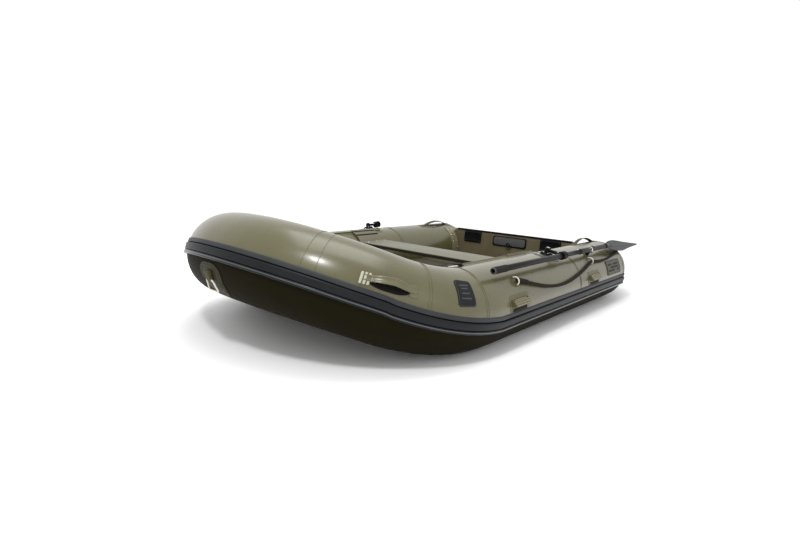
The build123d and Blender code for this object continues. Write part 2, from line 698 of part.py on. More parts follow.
with BuildPart() as side_scoops:
    for scoop_x in SCOOP_PLACES:
        with BuildSketch(tube_plane(station_at(scoop_x - SCOOP_LENGTH / 2))):
            scoop_face(SCOOP_OUTER)
        extrude(amount=SCOOP_LENGTH)
    for scoop_x in SCOOP_PLACES:
        with BuildSketch(tube_plane(station_at(scoop_x - SCOOP_LENGTH / 2 + SCOOP_WALL))):
            scoop_face(SCOOP_POCKET)
        extrude(amount=SCOOP_LENGTH - 2 * SCOOP_WALL, mode=Mode.SUBTRACT)
    sweep_tube(TUBE_R + FIT_GAP, station_at(-700), station_at(550), mode=Mode.SUBTRACT)
keep_pair(side_scoops, "scoop_handles")


# ---------------------------------------------------------------- plates
with BuildPart() as shoulder_badge:
    skin_pad(BEND_START + 220, 36.5, 98, 136, 16, 4)

with BuildPart() as stern_plate:
    skin_pad(station_at(-922), 19.5, 248, 104, 12, 4)

with BuildPart() as hull_plates:
    add(shoulder_badge.part)
    add(stern_plate.part)
keep_pair(hull_plates, "hull_plates")


# ---------------------------------------------------------------- grab line
ROPE_REST = 11.0           # the middle of the rope above the skin where it lies on it

# Where the rope runs over the skin: distance forward, angle on the tube, height of its middle above it.
ROPE_ROUTE = [
    (400, 41.0, 20), (335, 37.5, 14), (240, 29.5, 11.5), (110, 21.5, ROPE_REST),
    (-20, 17.5, ROPE_REST), (-150, 18.0, ROPE_REST), (-270, 22.0, ROPE_REST), (-390, 28.0, ROPE_REST),
    (-490, 34.0, 12), (-572, 40.0, 15), (-660, 37.0, 12), (-770, 36.0, ROPE_REST),
    (-880, 38.0, ROPE_REST), (-990, 41.5, ROPE_REST), (-1080, 45.5, 11.5), (-1150, 50.5, 12),
    (-1210, 58.0, 13.5), (-1256, 68.0, 17),
]


def skin_point(place):
    """A point over the skin of the straight tube or the cone."""
    x, angle, height = place
    share = cone_share(x)
    across, up = polar(cone_radius(share) + height, angle)
    return Vector(x, AXIS_Y + across, cone_axis_z(share) + up)


def bend_radii(points):
    """The largest tangent arc at each inner point: 0.45 of its shorter run over tan of half the turn."""
    radii = []
    for before, here, after in zip(points, points[1:], points[2:]):
        into, out_of = here - before, after - here
        turn = radians(into.get_angle(out_of))
        shorter = min(into.length, out_of.length)
        radii.append(0.45 * shorter * cos(turn / 2) / sin(turn / 2))
    return radii


def cord_tube(points, radius):
    """Sweep a round cord along straight runs and tangent arcs in the current part."""
    radii = bend_radii(points)
    with BuildLine() as cord_line:
        FilletPolyline(*points, radius=radii)
    cord_path = cord_line.wire()
    with BuildSketch(Plane(origin=cord_path @ 0, z_dir=cord_path % 0)) as cord_section:
        Circle(radius)
    sweep(sections=cord_section.sketch, path=cord_path)
    print("cord", round(cord_path.length), "mm, radii", [round(r) for r in radii])


# Standing rings for the line on the tube and the cone, and one lying flat ahead of the rail's stop.
LINE_RING_INNER = 19.0
STERN_RING = (-1256.0, 71.0, RING_FOOT_DEPTH)
STERN_RADIAL = (0, cos(radians(STERN_RING[1])), sin(radians(STERN_RING[1])))
STERN_FOOT = Plane(origin=skin_point(STERN_RING), x_dir=(1, 0, 0), z_dir=STERN_RADIAL)
RING_FEET = [
    (turned(skin_plane(station_at(400), 41, RING_FOOT_DEPTH), 90), LINE_RING_INNER),
    (turned(skin_plane(station_at(-572), 41.5, RING_FOOT_DEPTH), 90), LINE_RING_INNER),
    (turned(STERN_FOOT, 60), 17),
]
with BuildPart() as line_rings:
    for ring_foot, ring_inner in RING_FEET:
        standing_ring(ring_foot, ring_inner)
    sweep_tube(TUBE_R + FIT_GAP, 0, BEND_START + 200, mode=Mode.SUBTRACT)
    add(stern_cone.part, mode=Mode.SUBTRACT)
    with Locations(skin_plane(station_at(RAIL_FORE + 100), RAIL_ANGLE - 4, RING_WIRE + FIT_GAP)):
        Torus(22, RING_WIRE)
keep_pair(line_rings, "line_rings")

with BuildPart() as grab_line:
    cord_tube([skin_point(place) for place in ROPE_ROUTE], ROPE_R)
keep_pair(grab_line, "grab_line")


# ---------------------------------------------------------------- towing eye under the bow
TOW_ANGLE = -25.0
TOW_RING_ANGLE = -21.0
TOW_RING_HEIGHT = 12.0
TOW_WIRE = 4.0
TOW_TOP_HALF = 26.0
TOW_LOW_HALF = 44.0
TOW_DROP = 58.0
TOW_LOOP_ANGLE = -16.0
TOW_LOOP_WIDTH = 36.0

with BuildPart() as tow_patch:
    skin_pad(NOSE_STATION, TOW_ANGLE, 160, 190, 60, PATCH_T)
keep(tow_patch, "tow_patch")

TOW_PLANE = skin_plane(NOSE_STATION, TOW_RING_ANGLE, TOW_RING_HEIGHT)     # its local Y points down
with BuildPart() as tow_ring:
    with BuildLine(TOW_PLANE) as ring_line:
        FilletPolyline(
            (TOW_TOP_HALF, 0), (TOW_LOW_HALF, TOW_DROP), (-TOW_LOW_HALF, TOW_DROP), (-TOW_TOP_HALF, 0),
            radius=9, close=True,
        )
    ring_path = ring_line.wire()
    with BuildSketch(Plane(origin=ring_path @ 0, z_dir=ring_path % 0)) as ring_section:
        Circle(TOW_WIRE)
    sweep(sections=ring_section.sketch, path=ring_path)
keep(tow_ring, "tow_ring")

# The webbing holds the ring's top bar in a tunnel.
with BuildPart() as tow_webbing:
    skin_pad(NOSE_STATION, TOW_LOOP_ANGLE, TOW_LOOP_WIDTH, 52, 6, 14.5, base=PATCH_T + 2 * FIT_GAP)
    with BuildSketch(Plane(origin=TOW_PLANE.origin, z_dir=TOW_PLANE.x_dir)):
        Circle(TOW_WIRE + 0.5)
    extrude(amount=TOW_LOOP_WIDTH, both=True, mode=Mode.SUBTRACT)
keep(tow_webbing, "tow_webbing")


# ---------------------------------------------------------------- air valves inside the tubes
VALVE_ANGLE = 138.0
VALVE_X = 650.0
VALVE_STATIONS = (station_at(VALVE_X), 2 * NOSE_STATION - station_at(VALVE_X), NOSE_STATION)
with BuildPart() as air_valves:
    for valve_station in VALVE_STATIONS:
        with BuildSketch(skin_plane(valve_station, VALVE_ANGLE, -8)):
            Circle(30)
        extrude(amount=12)
        with BuildSketch(skin_plane(valve_station, VALVE_ANGLE, 4)):
            Circle(22)
        extrude(amount=8, taper=10)
    for valve_station in VALVE_STATIONS:
        sweep_tube(TUBE_R + FIT_GAP, valve_station - 80, valve_station + 80, mode=Mode.SUBTRACT)
keep(air_valves, "air_valves")
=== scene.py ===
"""Looks of the inflatable boat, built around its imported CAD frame.

Pieces that lie on the tubes are modelled flat, as the fabric is cut (X along the
tube, Y round it, Z above the skin), and are then laid on the hull's form.
"""

import json
import logging
import math
from dataclasses import dataclass
from enum import Enum
from typing import Callable, Iterable, Sequence

import bmesh
import bpy
import numpy as np
from mathutils import Matrix, Vector

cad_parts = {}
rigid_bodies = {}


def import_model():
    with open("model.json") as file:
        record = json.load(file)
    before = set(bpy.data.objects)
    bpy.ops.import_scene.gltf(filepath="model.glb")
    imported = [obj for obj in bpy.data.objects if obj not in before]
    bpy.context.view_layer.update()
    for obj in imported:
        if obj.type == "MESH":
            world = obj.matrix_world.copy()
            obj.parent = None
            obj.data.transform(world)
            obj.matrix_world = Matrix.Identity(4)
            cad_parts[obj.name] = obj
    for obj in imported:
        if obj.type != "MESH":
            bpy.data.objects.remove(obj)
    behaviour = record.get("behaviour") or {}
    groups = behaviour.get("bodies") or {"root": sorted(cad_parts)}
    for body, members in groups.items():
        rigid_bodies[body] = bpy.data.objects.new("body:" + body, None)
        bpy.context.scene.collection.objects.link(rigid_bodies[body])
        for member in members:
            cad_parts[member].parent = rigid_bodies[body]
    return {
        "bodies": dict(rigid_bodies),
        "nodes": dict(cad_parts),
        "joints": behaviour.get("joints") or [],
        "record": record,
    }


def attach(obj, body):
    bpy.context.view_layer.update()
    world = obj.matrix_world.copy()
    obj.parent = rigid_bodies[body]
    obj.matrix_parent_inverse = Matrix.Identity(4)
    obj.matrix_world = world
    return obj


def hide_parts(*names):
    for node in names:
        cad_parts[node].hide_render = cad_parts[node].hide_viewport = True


log = logging.getLogger("boat")

MM = 0.001
SIDES = (("port", 1), ("starboard", -1))
STERN_X = -1.135             # where the side tubes end and the cones begin
SIDE_Y = 0.730               # the side tubes' axis, across
AXIS_Z = 0.210               # the side tubes' axis, above the ground
SHEET_WELD = 0.00001         # corners of a sheet closer than this are one
DISC_SIDES = 40              # sides of a round patch
Colour = tuple[float, float, float]
Test = Callable[[Vector, Vector], bool]
Outline = Sequence[tuple[float, float]]
Tree = bpy.types.NodeTree
Socket = bpy.types.NodeSocket


# ------------------------------------------------------------------ finishes
def feed(tree: Tree, node: bpy.types.Node, inputs: dict[str, object]) -> None:
    """Fill a node's inputs: another node's socket is linked, anything else is set."""
    for name, value in inputs.items():
        if isinstance(value, Socket):
            tree.links.new(value, node.inputs[name])
        else:
            node.inputs[name].default_value = value


def add_node(tree: Tree, kind: str, inputs: dict[str, object]) -> bpy.types.Node:
    """Add a shader node and fill its inputs."""
    node = tree.nodes.new(f"ShaderNode{kind}")
    feed(tree, node, inputs)
    return node


class Grain(Enum):
    """The fine relief of a surface."""

    WOVEN = "woven"          # a coated cloth's threads
    MOULDED = "moulded"      # fine spark texture of moulded plastic and rubber
    BRUSHED = "brushed"      # drawn metal
    PLY = "ply"              # painted plywood
    TWISTED = "twisted"      # rope and webbing yarn
    SMOOTH = "smooth"        # painted tube


@dataclass(frozen=True)
class Finish:
    """One finish: its colour, how it drifts, its gloss and its grain."""

    name: str
    colour: Colour
    roughness: float = 0.5
    metallic: float = 0.0
    specular: float = 0.5
    coat: float = 0.0
    drift: float = 0.12          # how far the colour wanders, as a share
    drift_size: float = 0.12     # metres
    grain: Grain = Grain.MOULDED
    grain_size: float = 0.0012   # metres
    grain_depth: float = 0.15
    scuff: float = 0.0           # share of pale rub marks
    scuff_colour: Colour = (0.35, 0.34, 0.30)

    def material(self) -> bpy.types.Material:
        """Build the finish once and return it afterwards.

        Returns:
            The node material.
        """
        found = bpy.data.materials.get(self.name)
        if found:
            return found
        made = bpy.data.materials.new(self.name)
        made.use_nodes = True
        tree = made.node_tree
        place = tree.nodes.new("ShaderNodeTexCoord").outputs["Object"]
        cloud = self._noise(tree, place, 1 / self.drift_size, 3.0)
        fine = self._noise(tree, place, 1 / (self.drift_size * 0.12), 2.0)
        dark = tuple(c * (1 - self.drift) for c in self.colour)
        light = tuple(min(c * (1 + self.drift), 1) for c in self.colour)
        tone = self._ramp(tree, cloud, (0.32, dark), (0.68, light))
        if self.scuff > 0:
            rub = self._ramp(tree, fine, (0.63, (0, 0, 0)), (0.78, (self.scuff,) * 3))
            blended = tree.nodes.new("ShaderNodeMix")
            blended.data_type = "RGBA"
            feed(tree, blended, {"Factor": rub, "A": tone, "B": (*self.scuff_colour, 1)})
            tone = blended.outputs["Result"]
        gloss = add_node(tree, "MapRange", {"To Min": max(self.roughness - 0.07, 0.03),
                                            "To Max": min(self.roughness + 0.07, 1), "Value": fine})
        bump = add_node(tree, "Bump", {"Strength": self.grain_depth, "Distance": self.grain_size * 0.5,
                                       "Height": self._relief(tree)})
        feed(tree, tree.nodes["Principled BSDF"], {
            "Metallic": self.metallic, "Specular IOR Level": self.specular, "Coat Weight": self.coat,
            "Coat Roughness": 0.20, "Base Color": tone, "Roughness": gloss.outputs["Result"],
            "Normal": bump.outputs["Normal"]})
        return made

    def _noise(self, tree: Tree, place: Socket, scale: float, detail: float) -> Socket:
        """Add a noise pattern and return its value socket."""
        return add_node(tree, "TexNoise", {"Scale": scale, "Detail": detail, "Vector": place}).outputs["Fac"]

    def _ramp(self, tree: Tree, share: Socket, *stops: tuple[float, Colour]) -> Socket:
        """Add a ramp between two colours and return its colour socket."""
        ramp = add_node(tree, "ValToRGB", {"Fac": share})
        for element, (position, colour) in zip(ramp.color_ramp.elements, stops):
            element.position = position
            element.color = (*colour, 1)
        return ramp.outputs["Color"]

    def _relief(self, tree: Tree) -> Socket:
        """Add the grain's height pattern and return its socket."""
        coordinates = tree.nodes.new("ShaderNodeTexCoord")
        scale = 1 / self.grain_size
        if self.grain is Grain.WOVEN:
            weave = tree.nodes.new("ShaderNodeMath")
            weave.operation = "MULTIPLY"
            for k, direction in enumerate(("X", "Y")):
                wave = add_node(tree, "TexWave", {
                    "Scale": scale / 6.3, "Distortion": 0.4, "Vector": coordinates.outputs["UV"]})
                wave.bands_direction = direction
                tree.links.new(wave.outputs["Fac"], weave.inputs[k])
            return weave.outputs["Value"]
        squeeze = {
            Grain.MOULDED: (1, 1, 1), Grain.BRUSHED: (0.06, 1, 1), Grain.PLY: (1, 0.05, 1),
            Grain.TWISTED: (0.5, 0.5, 0.5), Grain.SMOOTH: (0.1, 0.1, 0.1),
        }[self.grain]
        stretch = add_node(tree, "Mapping", {"Vector": coordinates.outputs["Object"], "Scale": squeeze})
        return self._noise(tree, stretch.outputs["Vector"], scale, 2.0)


CLOTH: dict[str, object] = {"grain": Grain.WOVEN, "grain_size": 0.0014}
PATCHING: dict[str, object] = {
    "grain": Grain.WOVEN, "grain_size": 0.0011, "grain_depth": 0.14, "drift": 0.06}
BOARD: dict[str, object] = {"grain": Grain.PLY, "grain_size": 0.004}


class Finishes:
    """The boat's finishes, by what they are on."""

    HULL = Finish("olive_coated_fabric", (0.076, 0.069, 0.029), 0.30, drift=0.05, coat=0.40,
                  grain_depth=0.02, specular=0.40, **CLOTH)
    # Painted shade: the hull's olive made near black, standing in for the shade under the tubes and on the bottom.
    UNDERSIDE_SHADE = Finish("dark_olive_coated_fabric", (0.0075, 0.0062, 0.0018), 0.6, drift=0.08, specular=0.03,
                   grain_depth=0.10, **CLOTH)
    # Painted highlight: the seam ridges are a little lighter than the hull, so that they read as lines catching the
    # light.
    TAPE = Finish("olive_seam_tape", (0.084, 0.077, 0.036), 0.32, drift=0.05, specular=0.5,
                  grain_depth=0.10, **CLOTH)
    PATCH = Finish("olive_patch_fabric", (0.075, 0.067, 0.029), 0.38, specular=0.35, **PATCHING)
    TOW_PATCH = Finish("dark_olive_patch_fabric", (0.016, 0.0135, 0.005), 0.42, specular=0.08,
                       **PATCHING)
    TOW_LINE = Finish("olive_piping", (0.050, 0.043, 0.018), 0.40, drift=0.06, specular=0.12)
    BAND = Finish("charcoal_strake_rubber", (0.0100, 0.0108, 0.0122), 0.40, drift=0.10, specular=0.12)
    LIP = Finish("grey_strake_rubber", (0.030, 0.032, 0.034), 0.45, drift=0.10, specular=0.12)
    BEAD = Finish("glossy_strake_bead", (0.007, 0.0075, 0.009), 0.24, drift=0.08, specular=0.12)
    # Painted highlight: a thin pale strip along the bead's top stands in for the light line it catches.
    SHINE = Finish("worn_strake_edge", (0.045, 0.049, 0.056), 0.22, drift=0.15, specular=0.5)
    # Painted shade: near black in the strake's grooves, where shade falls.
    GROOVE = Finish("strake_groove_rubber", (0.002, 0.002, 0.002), 0.8, drift=0.1, specular=0.05)
    OLIVE_MOULDED = Finish("olive_moulded_rubber", (0.090, 0.082, 0.038), 0.30, drift=0.06, specular=0.5)
    OLIVE_METAL = Finish("olive_painted_metal", (0.095, 0.087, 0.048), 0.34, grain=Grain.SMOOTH, drift=0.05)
    OLIVE_WEB = Finish("olive_brown_webbing", (0.055, 0.046, 0.022), 0.7, grain=Grain.TWISTED,
                       grain_size=0.0016, grain_depth=0.5, specular=0.2)
    # Painted highlight: pale edges on the rails and on the scoops' rib lips stand in for the light they catch.
    EDGE = Finish("pale_olive_edge", (0.165, 0.152, 0.088), 0.28, drift=0.05, specular=0.4)
    FLANGE = Finish("pale_olive_flange", (0.150, 0.138, 0.078), 0.34, drift=0.06)
    # Painted highlight: the bow handle's ribs are pale where the olive rubber catches the light.
    RIB = Finish("pale_rib_rubber", (0.34, 0.33, 0.26), 0.35, drift=0.05, specular=0.4)
    HOOD = Finish("olive_hood_rubber", (0.070, 0.063, 0.027), 0.38, drift=0.05, specular=0.3)
    # Painted shade: the scoops' pockets and the plate below them are near black for the shade inside.
    RECESS = Finish("dark_brown_recess", (0.008, 0.006, 0.003), 0.6, drift=0.1, specular=0.1)
    IVORY = Finish("ivory_coated_ring", (0.58, 0.56, 0.46), 0.30, drift=0.05, grain=Grain.SMOOTH)
    DISC = Finish("grey_lock_disc", (0.065, 0.064, 0.054), 0.36, drift=0.08, specular=0.3)
    PLATE = Finish("dark_olive_plate", (0.034, 0.030, 0.014), 0.42, drift=0.08, specular=0.3)
    BADGE_RIM = Finish("grey_badge_rim", (0.040, 0.042, 0.043), 0.36, drift=0.08, specular=0.15)
    BLACK_GLOSS = Finish("black_glossy_rubber", (0.006, 0.006, 0.006), 0.2, drift=0.1, specular=0.5)
    BLACK = Finish("black_moulded_plastic", (0.0045, 0.0045, 0.0048), 0.45, drift=0.15, specular=0.08)
    GREY = Finish("grey_moulded_plastic", (0.062, 0.062, 0.060), 0.48, drift=0.08, specular=0.15)
    BADGE = Finish("grey_badge_rubber", (0.0125, 0.0135, 0.0145), 0.45, drift=0.12, specular=0.08)
    TUBE = Finish("black_painted_tube", (0.0045, 0.0044, 0.0040), 0.38, grain=Grain.SMOOTH, specular=0.08,
                  drift=0.15, scuff=0.10, scuff_colour=(0.03, 0.03, 0.03))
    FOAM = Finish("grey_foam_grip", (0.022, 0.022, 0.021), 0.8, grain_size=0.002, specular=0.05,
                  grain_depth=0.4)
    BLADE = Finish("dark_blade_plastic", (0.016, 0.0162, 0.0165), 0.36, drift=0.12, specular=0.10,
                   scuff=0.12, scuff_colour=(0.05, 0.05, 0.05))
    STEEL = Finish("polished_steel", (0.72, 0.71, 0.68), 0.22, metallic=1.0,
                   grain=Grain.BRUSHED, grain_size=0.0008, grain_depth=0.08)
    ROPE = Finish("brown_black_rope", (0.0085, 0.0068, 0.0045), 0.75, grain=Grain.TWISTED, specular=0.15,
                  grain_size=0.0012, grain_depth=0.5, drift=0.25, drift_size=0.03)
    # Painted shade: the bench's sides and underside are much darker than its top, standing in for the shade under the
    # board.
    BENCH_EDGE = Finish("dark_bench_edge", (0.012, 0.0115, 0.007), 0.5, specular=0.2,
                        grain_depth=0.10, **BOARD)
    BENCH = Finish("painted_bench_ply", (0.118, 0.114, 0.076), 0.40, specular=0.35, drift=0.05,
                   grain_depth=0.10, **BOARD)
    TRANSOM = Finish("painted_transom_ply", (0.108, 0.090, 0.052), 0.45, specular=0.2, drift=0.10,
                     grain_depth=0.12, **BOARD)
    DECK_EDGE = Finish("grey_deck_cloth", (0.032, 0.030, 0.020), 0.5, grain=Grain.MOULDED, specular=0.2)
    DECK = Finish("olive_deck_foam", (0.040, 0.036, 0.019), 0.7, grain_size=0.003, specular=0.15,
                  grain_depth=0.3)


# ------------------------------------------------------------------ the hull's form
@dataclass(frozen=True)
class HullForm:
    """The line the tubes follow, their radius and the stern cones' taper."""

    tube_r: float = 0.210
    corners: tuple[tuple[float, float, float], ...] = (
        (STERN_X, SIDE_Y, AXIS_Z), (0.838, SIDE_Y, AXIS_Z), (1.359, 0.377, 0.440),
        (1.359, -0.377, 0.440), (0.838, -SIDE_Y, AXIS_Z), (STERN_X, -SIDE_Y, AXIS_Z),
    )
    bends: tuple[float, ...] = (0.762, 0.651, 0.651, 0.762)
    cone_length: float = 0.450
    cone_taper: float = 0.74
    cone_blunt: float = 1.15
    cone_rise: float = 0.020
    step: float = 0.002

    def __post_init__(self) -> None:
        """Trace the axis once, as points, directions and stations."""
        line = [np.array(p) for p in self.corners]
        ahead = [(b - a) / np.linalg.norm(b - a) for a, b in zip(line, line[1:])]
        points: list[np.ndarray] = []
        start = line[0]
        for i, bend in enumerate(self.bends):
            into, out_of = ahead[i], ahead[i + 1]
            turn = math.acos(float(into @ out_of))
            cut = bend * math.tan(turn / 2)
            end = line[i + 1] - into * cut
            points += self._run(start, end)
            inward = out_of - into * float(into @ out_of)
            inward /= np.linalg.norm(inward)
            centre = end + inward * bend
            count = int(bend * turn / self.step)
            for k in range(count):
                a = turn * k / count
                points.append(centre - inward * bend * math.cos(a) + into * bend * math.sin(a))
            start = line[i + 1] + out_of * cut
        points += self._run(start, line[-1]) + [line[-1]]
        trace = np.array(points)
        gaps = np.linalg.norm(np.diff(trace, axis=0), axis=1)
        object.__setattr__(self, "trace", trace)
        object.__setattr__(self, "stations", np.concatenate([[0], np.cumsum(gaps)]))
        along = np.gradient(trace, self.stations, axis=0)
        object.__setattr__(self, "along", along / np.linalg.norm(along, axis=1)[:, None])

    def _run(self, start: np.ndarray, end: np.ndarray) -> list[np.ndarray]:
        """Points of a straight run, without its last one."""
        count = max(int(np.linalg.norm(end - start) / self.step), 1)
        return [start + (end - start) * k / count for k in range(count)]

    @property
    def length(self) -> float:
        """Length of the axis from one cone's base to the other's."""
        return float(self.stations[-1])

    @property
    def nose(self) -> float:
        """Station of the middle of the bow."""
        return self.length / 2

    @property
    def bend_start(self) -> float:
        """Station where the side tube starts to bend in."""
        return 1.70345

    def beside(self, x: float) -> float:
        """Station of the place on the straight port tube that has this X."""
        return x - STERN_X

    def lay(self, station: np.ndarray, arc: np.ndarray, height: np.ndarray) -> np.ndarray:
        """Find points over the skin.

        Args:
            station: Distances along the axis, below 0 and past its end on the cones.
            arc: Distances round the tube from its outboard level line, upward.
            height: Heights above the skin.

        Returns:
            The points, one row each.
        """
        s = np.asarray(station, float)
        inside = np.clip(s, 0, self.length)
        origin = np.stack([np.interp(inside, self.stations, self.trace[:, k]) for k in range(3)], -1)
        along = np.stack([np.interp(inside, self.stations, self.along[:, k]) for k in range(3)], -1)
        beyond = np.maximum(-s, 0) + np.maximum(s - self.length, 0)
        share = beyond / self.cone_length
        origin[..., 0] -= beyond
        origin[..., 2] += self.cone_rise * share ** 2
        along /= np.linalg.norm(along, axis=-1)[..., None]
        outboard = np.stack([-along[..., 1], along[..., 0], np.zeros_like(s)], -1)
        outboard /= np.linalg.norm(outboard, axis=-1)[..., None]
        up = np.cross(along, outboard)
        radius = self.tube_r * (1 - self.cone_taper * np.minimum(share, 1.2) ** self.cone_blunt) + height
        angle = np.asarray(arc, float) / self.tube_r
        return origin + (radius * np.cos(angle))[..., None] * outboard + (radius * np.sin(angle))[..., None] * up

    def seat(self, station: float, angle: float, height: float = 0.0) -> Matrix:
        """The frame of a place on the skin: X along the tube, Y round it, Z outwards.

        Args:
            station: Distance along the axis.
            angle: Degrees round the tube from its outboard level line.
            height: Height above the skin.

        Returns:
            The matrix that puts a piece modelled at the origin there.
        """
        stations = np.array([station, station, station + 0.005])
        arcs = np.full(3, self.degrees(angle))
        at, out, fore = self.lay(stations, arcs, np.array([height, height + 0.01, height]))
        return frame_at(at, fore - at, out - at)

    def degrees(self, angle: float) -> float:
        """Arc length of an angle on the tube."""
        return math.radians(angle) * self.tube_r


FORM = HullForm()


def off_side_tube(centre: Vector) -> tuple[float, float]:
    """Millimetres above the port side tube's skin, and degrees round it."""
    y, z = centre.y - SIDE_Y, centre.z - AXIS_Z
    return (math.hypot(y, z) - FORM.tube_r) * 1000, math.degrees(math.atan2(z, y))


# ------------------------------------------------------------------ hand tools
def open_edges() -> None:
    """In edit mode, select the open edges and nothing else."""
    bpy.ops.mesh.select_all(action="DESELECT")
    bpy.ops.mesh.select_mode(type="EDGE")
    bpy.ops.mesh.select_non_manifold()


def face_out() -> None:
    """In edit mode, select everything and turn every face outwards."""
    bpy.ops.mesh.select_all(action="SELECT")
    bpy.ops.mesh.normals_make_consistent(inside=False)


def on_top(centre: Vector, normal: Vector) -> bool:
    """Whether a face looks up."""
    return normal.z > 0.9


def smooth_line(name: str, points: np.ndarray, resolution: int, closed: bool = False) -> bpy.types.Object:
    """Draw a smooth line along points.

    Args:
        name: The line's name.
        points: What it runs along, one row each.
        resolution: How many steps it has from point to point.
        closed: Whether it comes back to its start.

    Returns:
        The curve's object, in the scene.
    """
    curve = bpy.data.curves.new(name, "CURVE")
    curve.dimensions = "3D"
    curve.resolution_u = resolution
    spline = curve.splines.new("NURBS")
    spline.points.add(len(points) - 1)
    for knot, at in zip(spline.points, points):
        knot.co = (*at, 1)
    spline.order_u = 3
    spline.use_cyclic_u = closed
    spline.use_endpoint_u = not closed
    line = bpy.data.objects.new(name, curve)
    bpy.context.scene.collection.objects.link(line)
    return line


class Piece:
    """One mesh on the workbench, and the tools that shape it."""

    def __init__(self, name: str) -> None:
        """Take over the object that an add operator has just made."""
        self.obj = bpy.context.object
        self.obj.name = name
        self.obj.data.name = name

    # ---- blanks
    @classmethod
    def grid(cls, name: str, nx: int, ny: int) -> "Piece":
        """A flat sheet of nx by ny faces, a metre square."""
        cls.clear()
        bpy.ops.mesh.primitive_grid_add(x_subdivisions=nx, y_subdivisions=ny, size=1)
        return cls(name)

    @classmethod
    def block(cls, name: str, size: Sequence[float], at: Sequence[float] = (0, 0, 0)) -> "Piece":
        """A block of this size, whose middle is at a point."""
        cls.clear()
        bpy.ops.mesh.primitive_cube_add(size=1)
        piece = cls(name)
        piece.obj.data.transform(Matrix.Translation(at) @ Matrix.Diagonal((*size, 1)))
        return piece

    @classmethod
    def turned(cls, name: str, steps: Outline, sides: int = 32) -> "Piece":
        """A piece turned about Z from (height, radius) steps, each extruded and scaled from the last."""
        cls.clear()
        z0, r0 = steps[0]
        bpy.ops.mesh.primitive_circle_add(vertices=sides, radius=r0, fill_type="NGON", location=(0, 0, z0))
        piece = cls(name)
        piece.obj.data.transform(Matrix.Translation((0, 0, z0)))
        piece.obj.location = (0, 0, 0)
        bpy.ops.object.mode_set(mode="EDIT")
        bpy.ops.mesh.select_all(action="SELECT")
        for (za, ra), (zb, rb) in zip(steps, steps[1:]):
            bpy.ops.mesh.extrude_region_move(TRANSFORM_OT_translate={"value": (0, 0, zb - za)})
            if abs(rb - ra) > 1e-7:
                k = max(rb, 1e-5) / ra
                bpy.ops.transform.resize(value=(k, k, 1), center_override=(0, 0, zb))
        face_out()
        bpy.ops.object.mode_set(mode="OBJECT")
        return piece

    @classmethod
    def ring(cls, name: str, major: float, minor: float) -> "Piece":
        """A round ring in the XY plane."""
        cls.clear()
        bpy.ops.mesh.primitive_torus_add(
            major_radius=major, minor_radius=minor, major_segments=36, minor_segments=12)
        return cls(name)

    @classmethod
    def plate(cls, name: str, outline: Outline, thickness: float, edge: float = 0.0) -> "Piece":
        """A flat plate from its outline, with a softened top edge.

        Args:
            name: The piece's name.
            outline: Its corners, anticlockwise.
            thickness: How far it is extruded upward.
            edge: Radius of its top edge.

        Returns:
            The piece, standing on the XY plane.
        """
        cls.clear()
        bpy.ops.mesh.primitive_circle_add(vertices=len(outline), radius=1, fill_type="NGON")
        piece = cls(name)
        for vertex, (x, y) in zip(piece.obj.data.vertices, outline):
            vertex.co = (x, y, 0)
        bpy.ops.object.mode_set(mode="EDIT")
        face_out()
        bpy.ops.mesh.extrude_region_move(TRANSFORM_OT_translate={"value": (0, 0, thickness)})
        face_out()
        bpy.ops.object.mode_set(mode="OBJECT")
        if edge:
            piece.edit(on_top, lambda: bpy.ops.mesh.bevel(offset=edge, segments=3, affect="EDGES"))
        return piece

    @classmethod
    def hollow(cls, name: str, loop: Outline, sides: int = 40) -> "Piece":
        """A ring-shaped piece about Z whose section is a closed loop of (radius, height) points."""
        cls.clear()
        bpy.ops.mesh.primitive_torus_add(
            major_segments=sides, minor_segments=len(loop), major_radius=1, minor_radius=0.1)
        piece = cls(name)
        turns = [2 * math.pi * k / sides for k in range(sides)]
        piece.put(np.array([(r * math.cos(a), r * math.sin(a), z) for a in turns for r, z in loop]))
        return piece.weld()

    @classmethod
    def wire(cls, name: str, points: np.ndarray, radius: float, closed: bool = False) -> "Piece":
        """A round wire along points, drawn as a bevelled curve and turned into a mesh."""
        cls.clear()
        drawn = smooth_line(name, points, 4, closed)
        drawn.data.bevel_depth = radius
        drawn.data.bevel_resolution = 3
        drawn.data.use_fill_caps = True
        drawn.select_set(True)
        bpy.context.view_layer.objects.active = drawn
        bpy.ops.object.convert(target="MESH")
        return cls(name).weld(0.000001)

    @staticmethod
    def clear() -> None:
        """Deselect everything."""
        for obj in bpy.context.selected_objects:
            obj.select_set(False)

    # ---- shaping
    def active(self) -> "Piece":
        """Make this the one selected object."""
        self.clear()
        self.obj.select_set(True)
        bpy.context.view_layer.objects.active = self.obj
        return self

    def edit(self, test: Test | None, *tools: Callable[[], object]) -> "Piece":
        """Select the faces that pass a test in edit mode and run tools on them.

        Args:
            test: Takes a face's centre and normal; None selects everything.
            tools: The operators to run, in order.

        Returns:
            The piece itself.
        """
        self.active()
        bpy.ops.object.mode_set(mode="EDIT")
        bpy.ops.mesh.select_mode(type="FACE")
        bpy.ops.mesh.select_all(action="SELECT" if test is None else "DESELECT")
        if test is not None:
            mesh = bmesh.from_edit_mesh(self.obj.data)
            for face in mesh.faces:
                face.select_set(test(face.calc_center_median(), face.normal))
            bmesh.update_edit_mesh(self.obj.data)
        for tool in tools:
            tool()
        bpy.ops.object.mode_set(mode="OBJECT")
        return self

    def inset(self, test: Test, width: float, depth: float = 0.0) -> "Piece":
        """Inset the chosen faces together."""
        return self.edit(test, lambda: bpy.ops.mesh.inset(thickness=width, depth=depth))

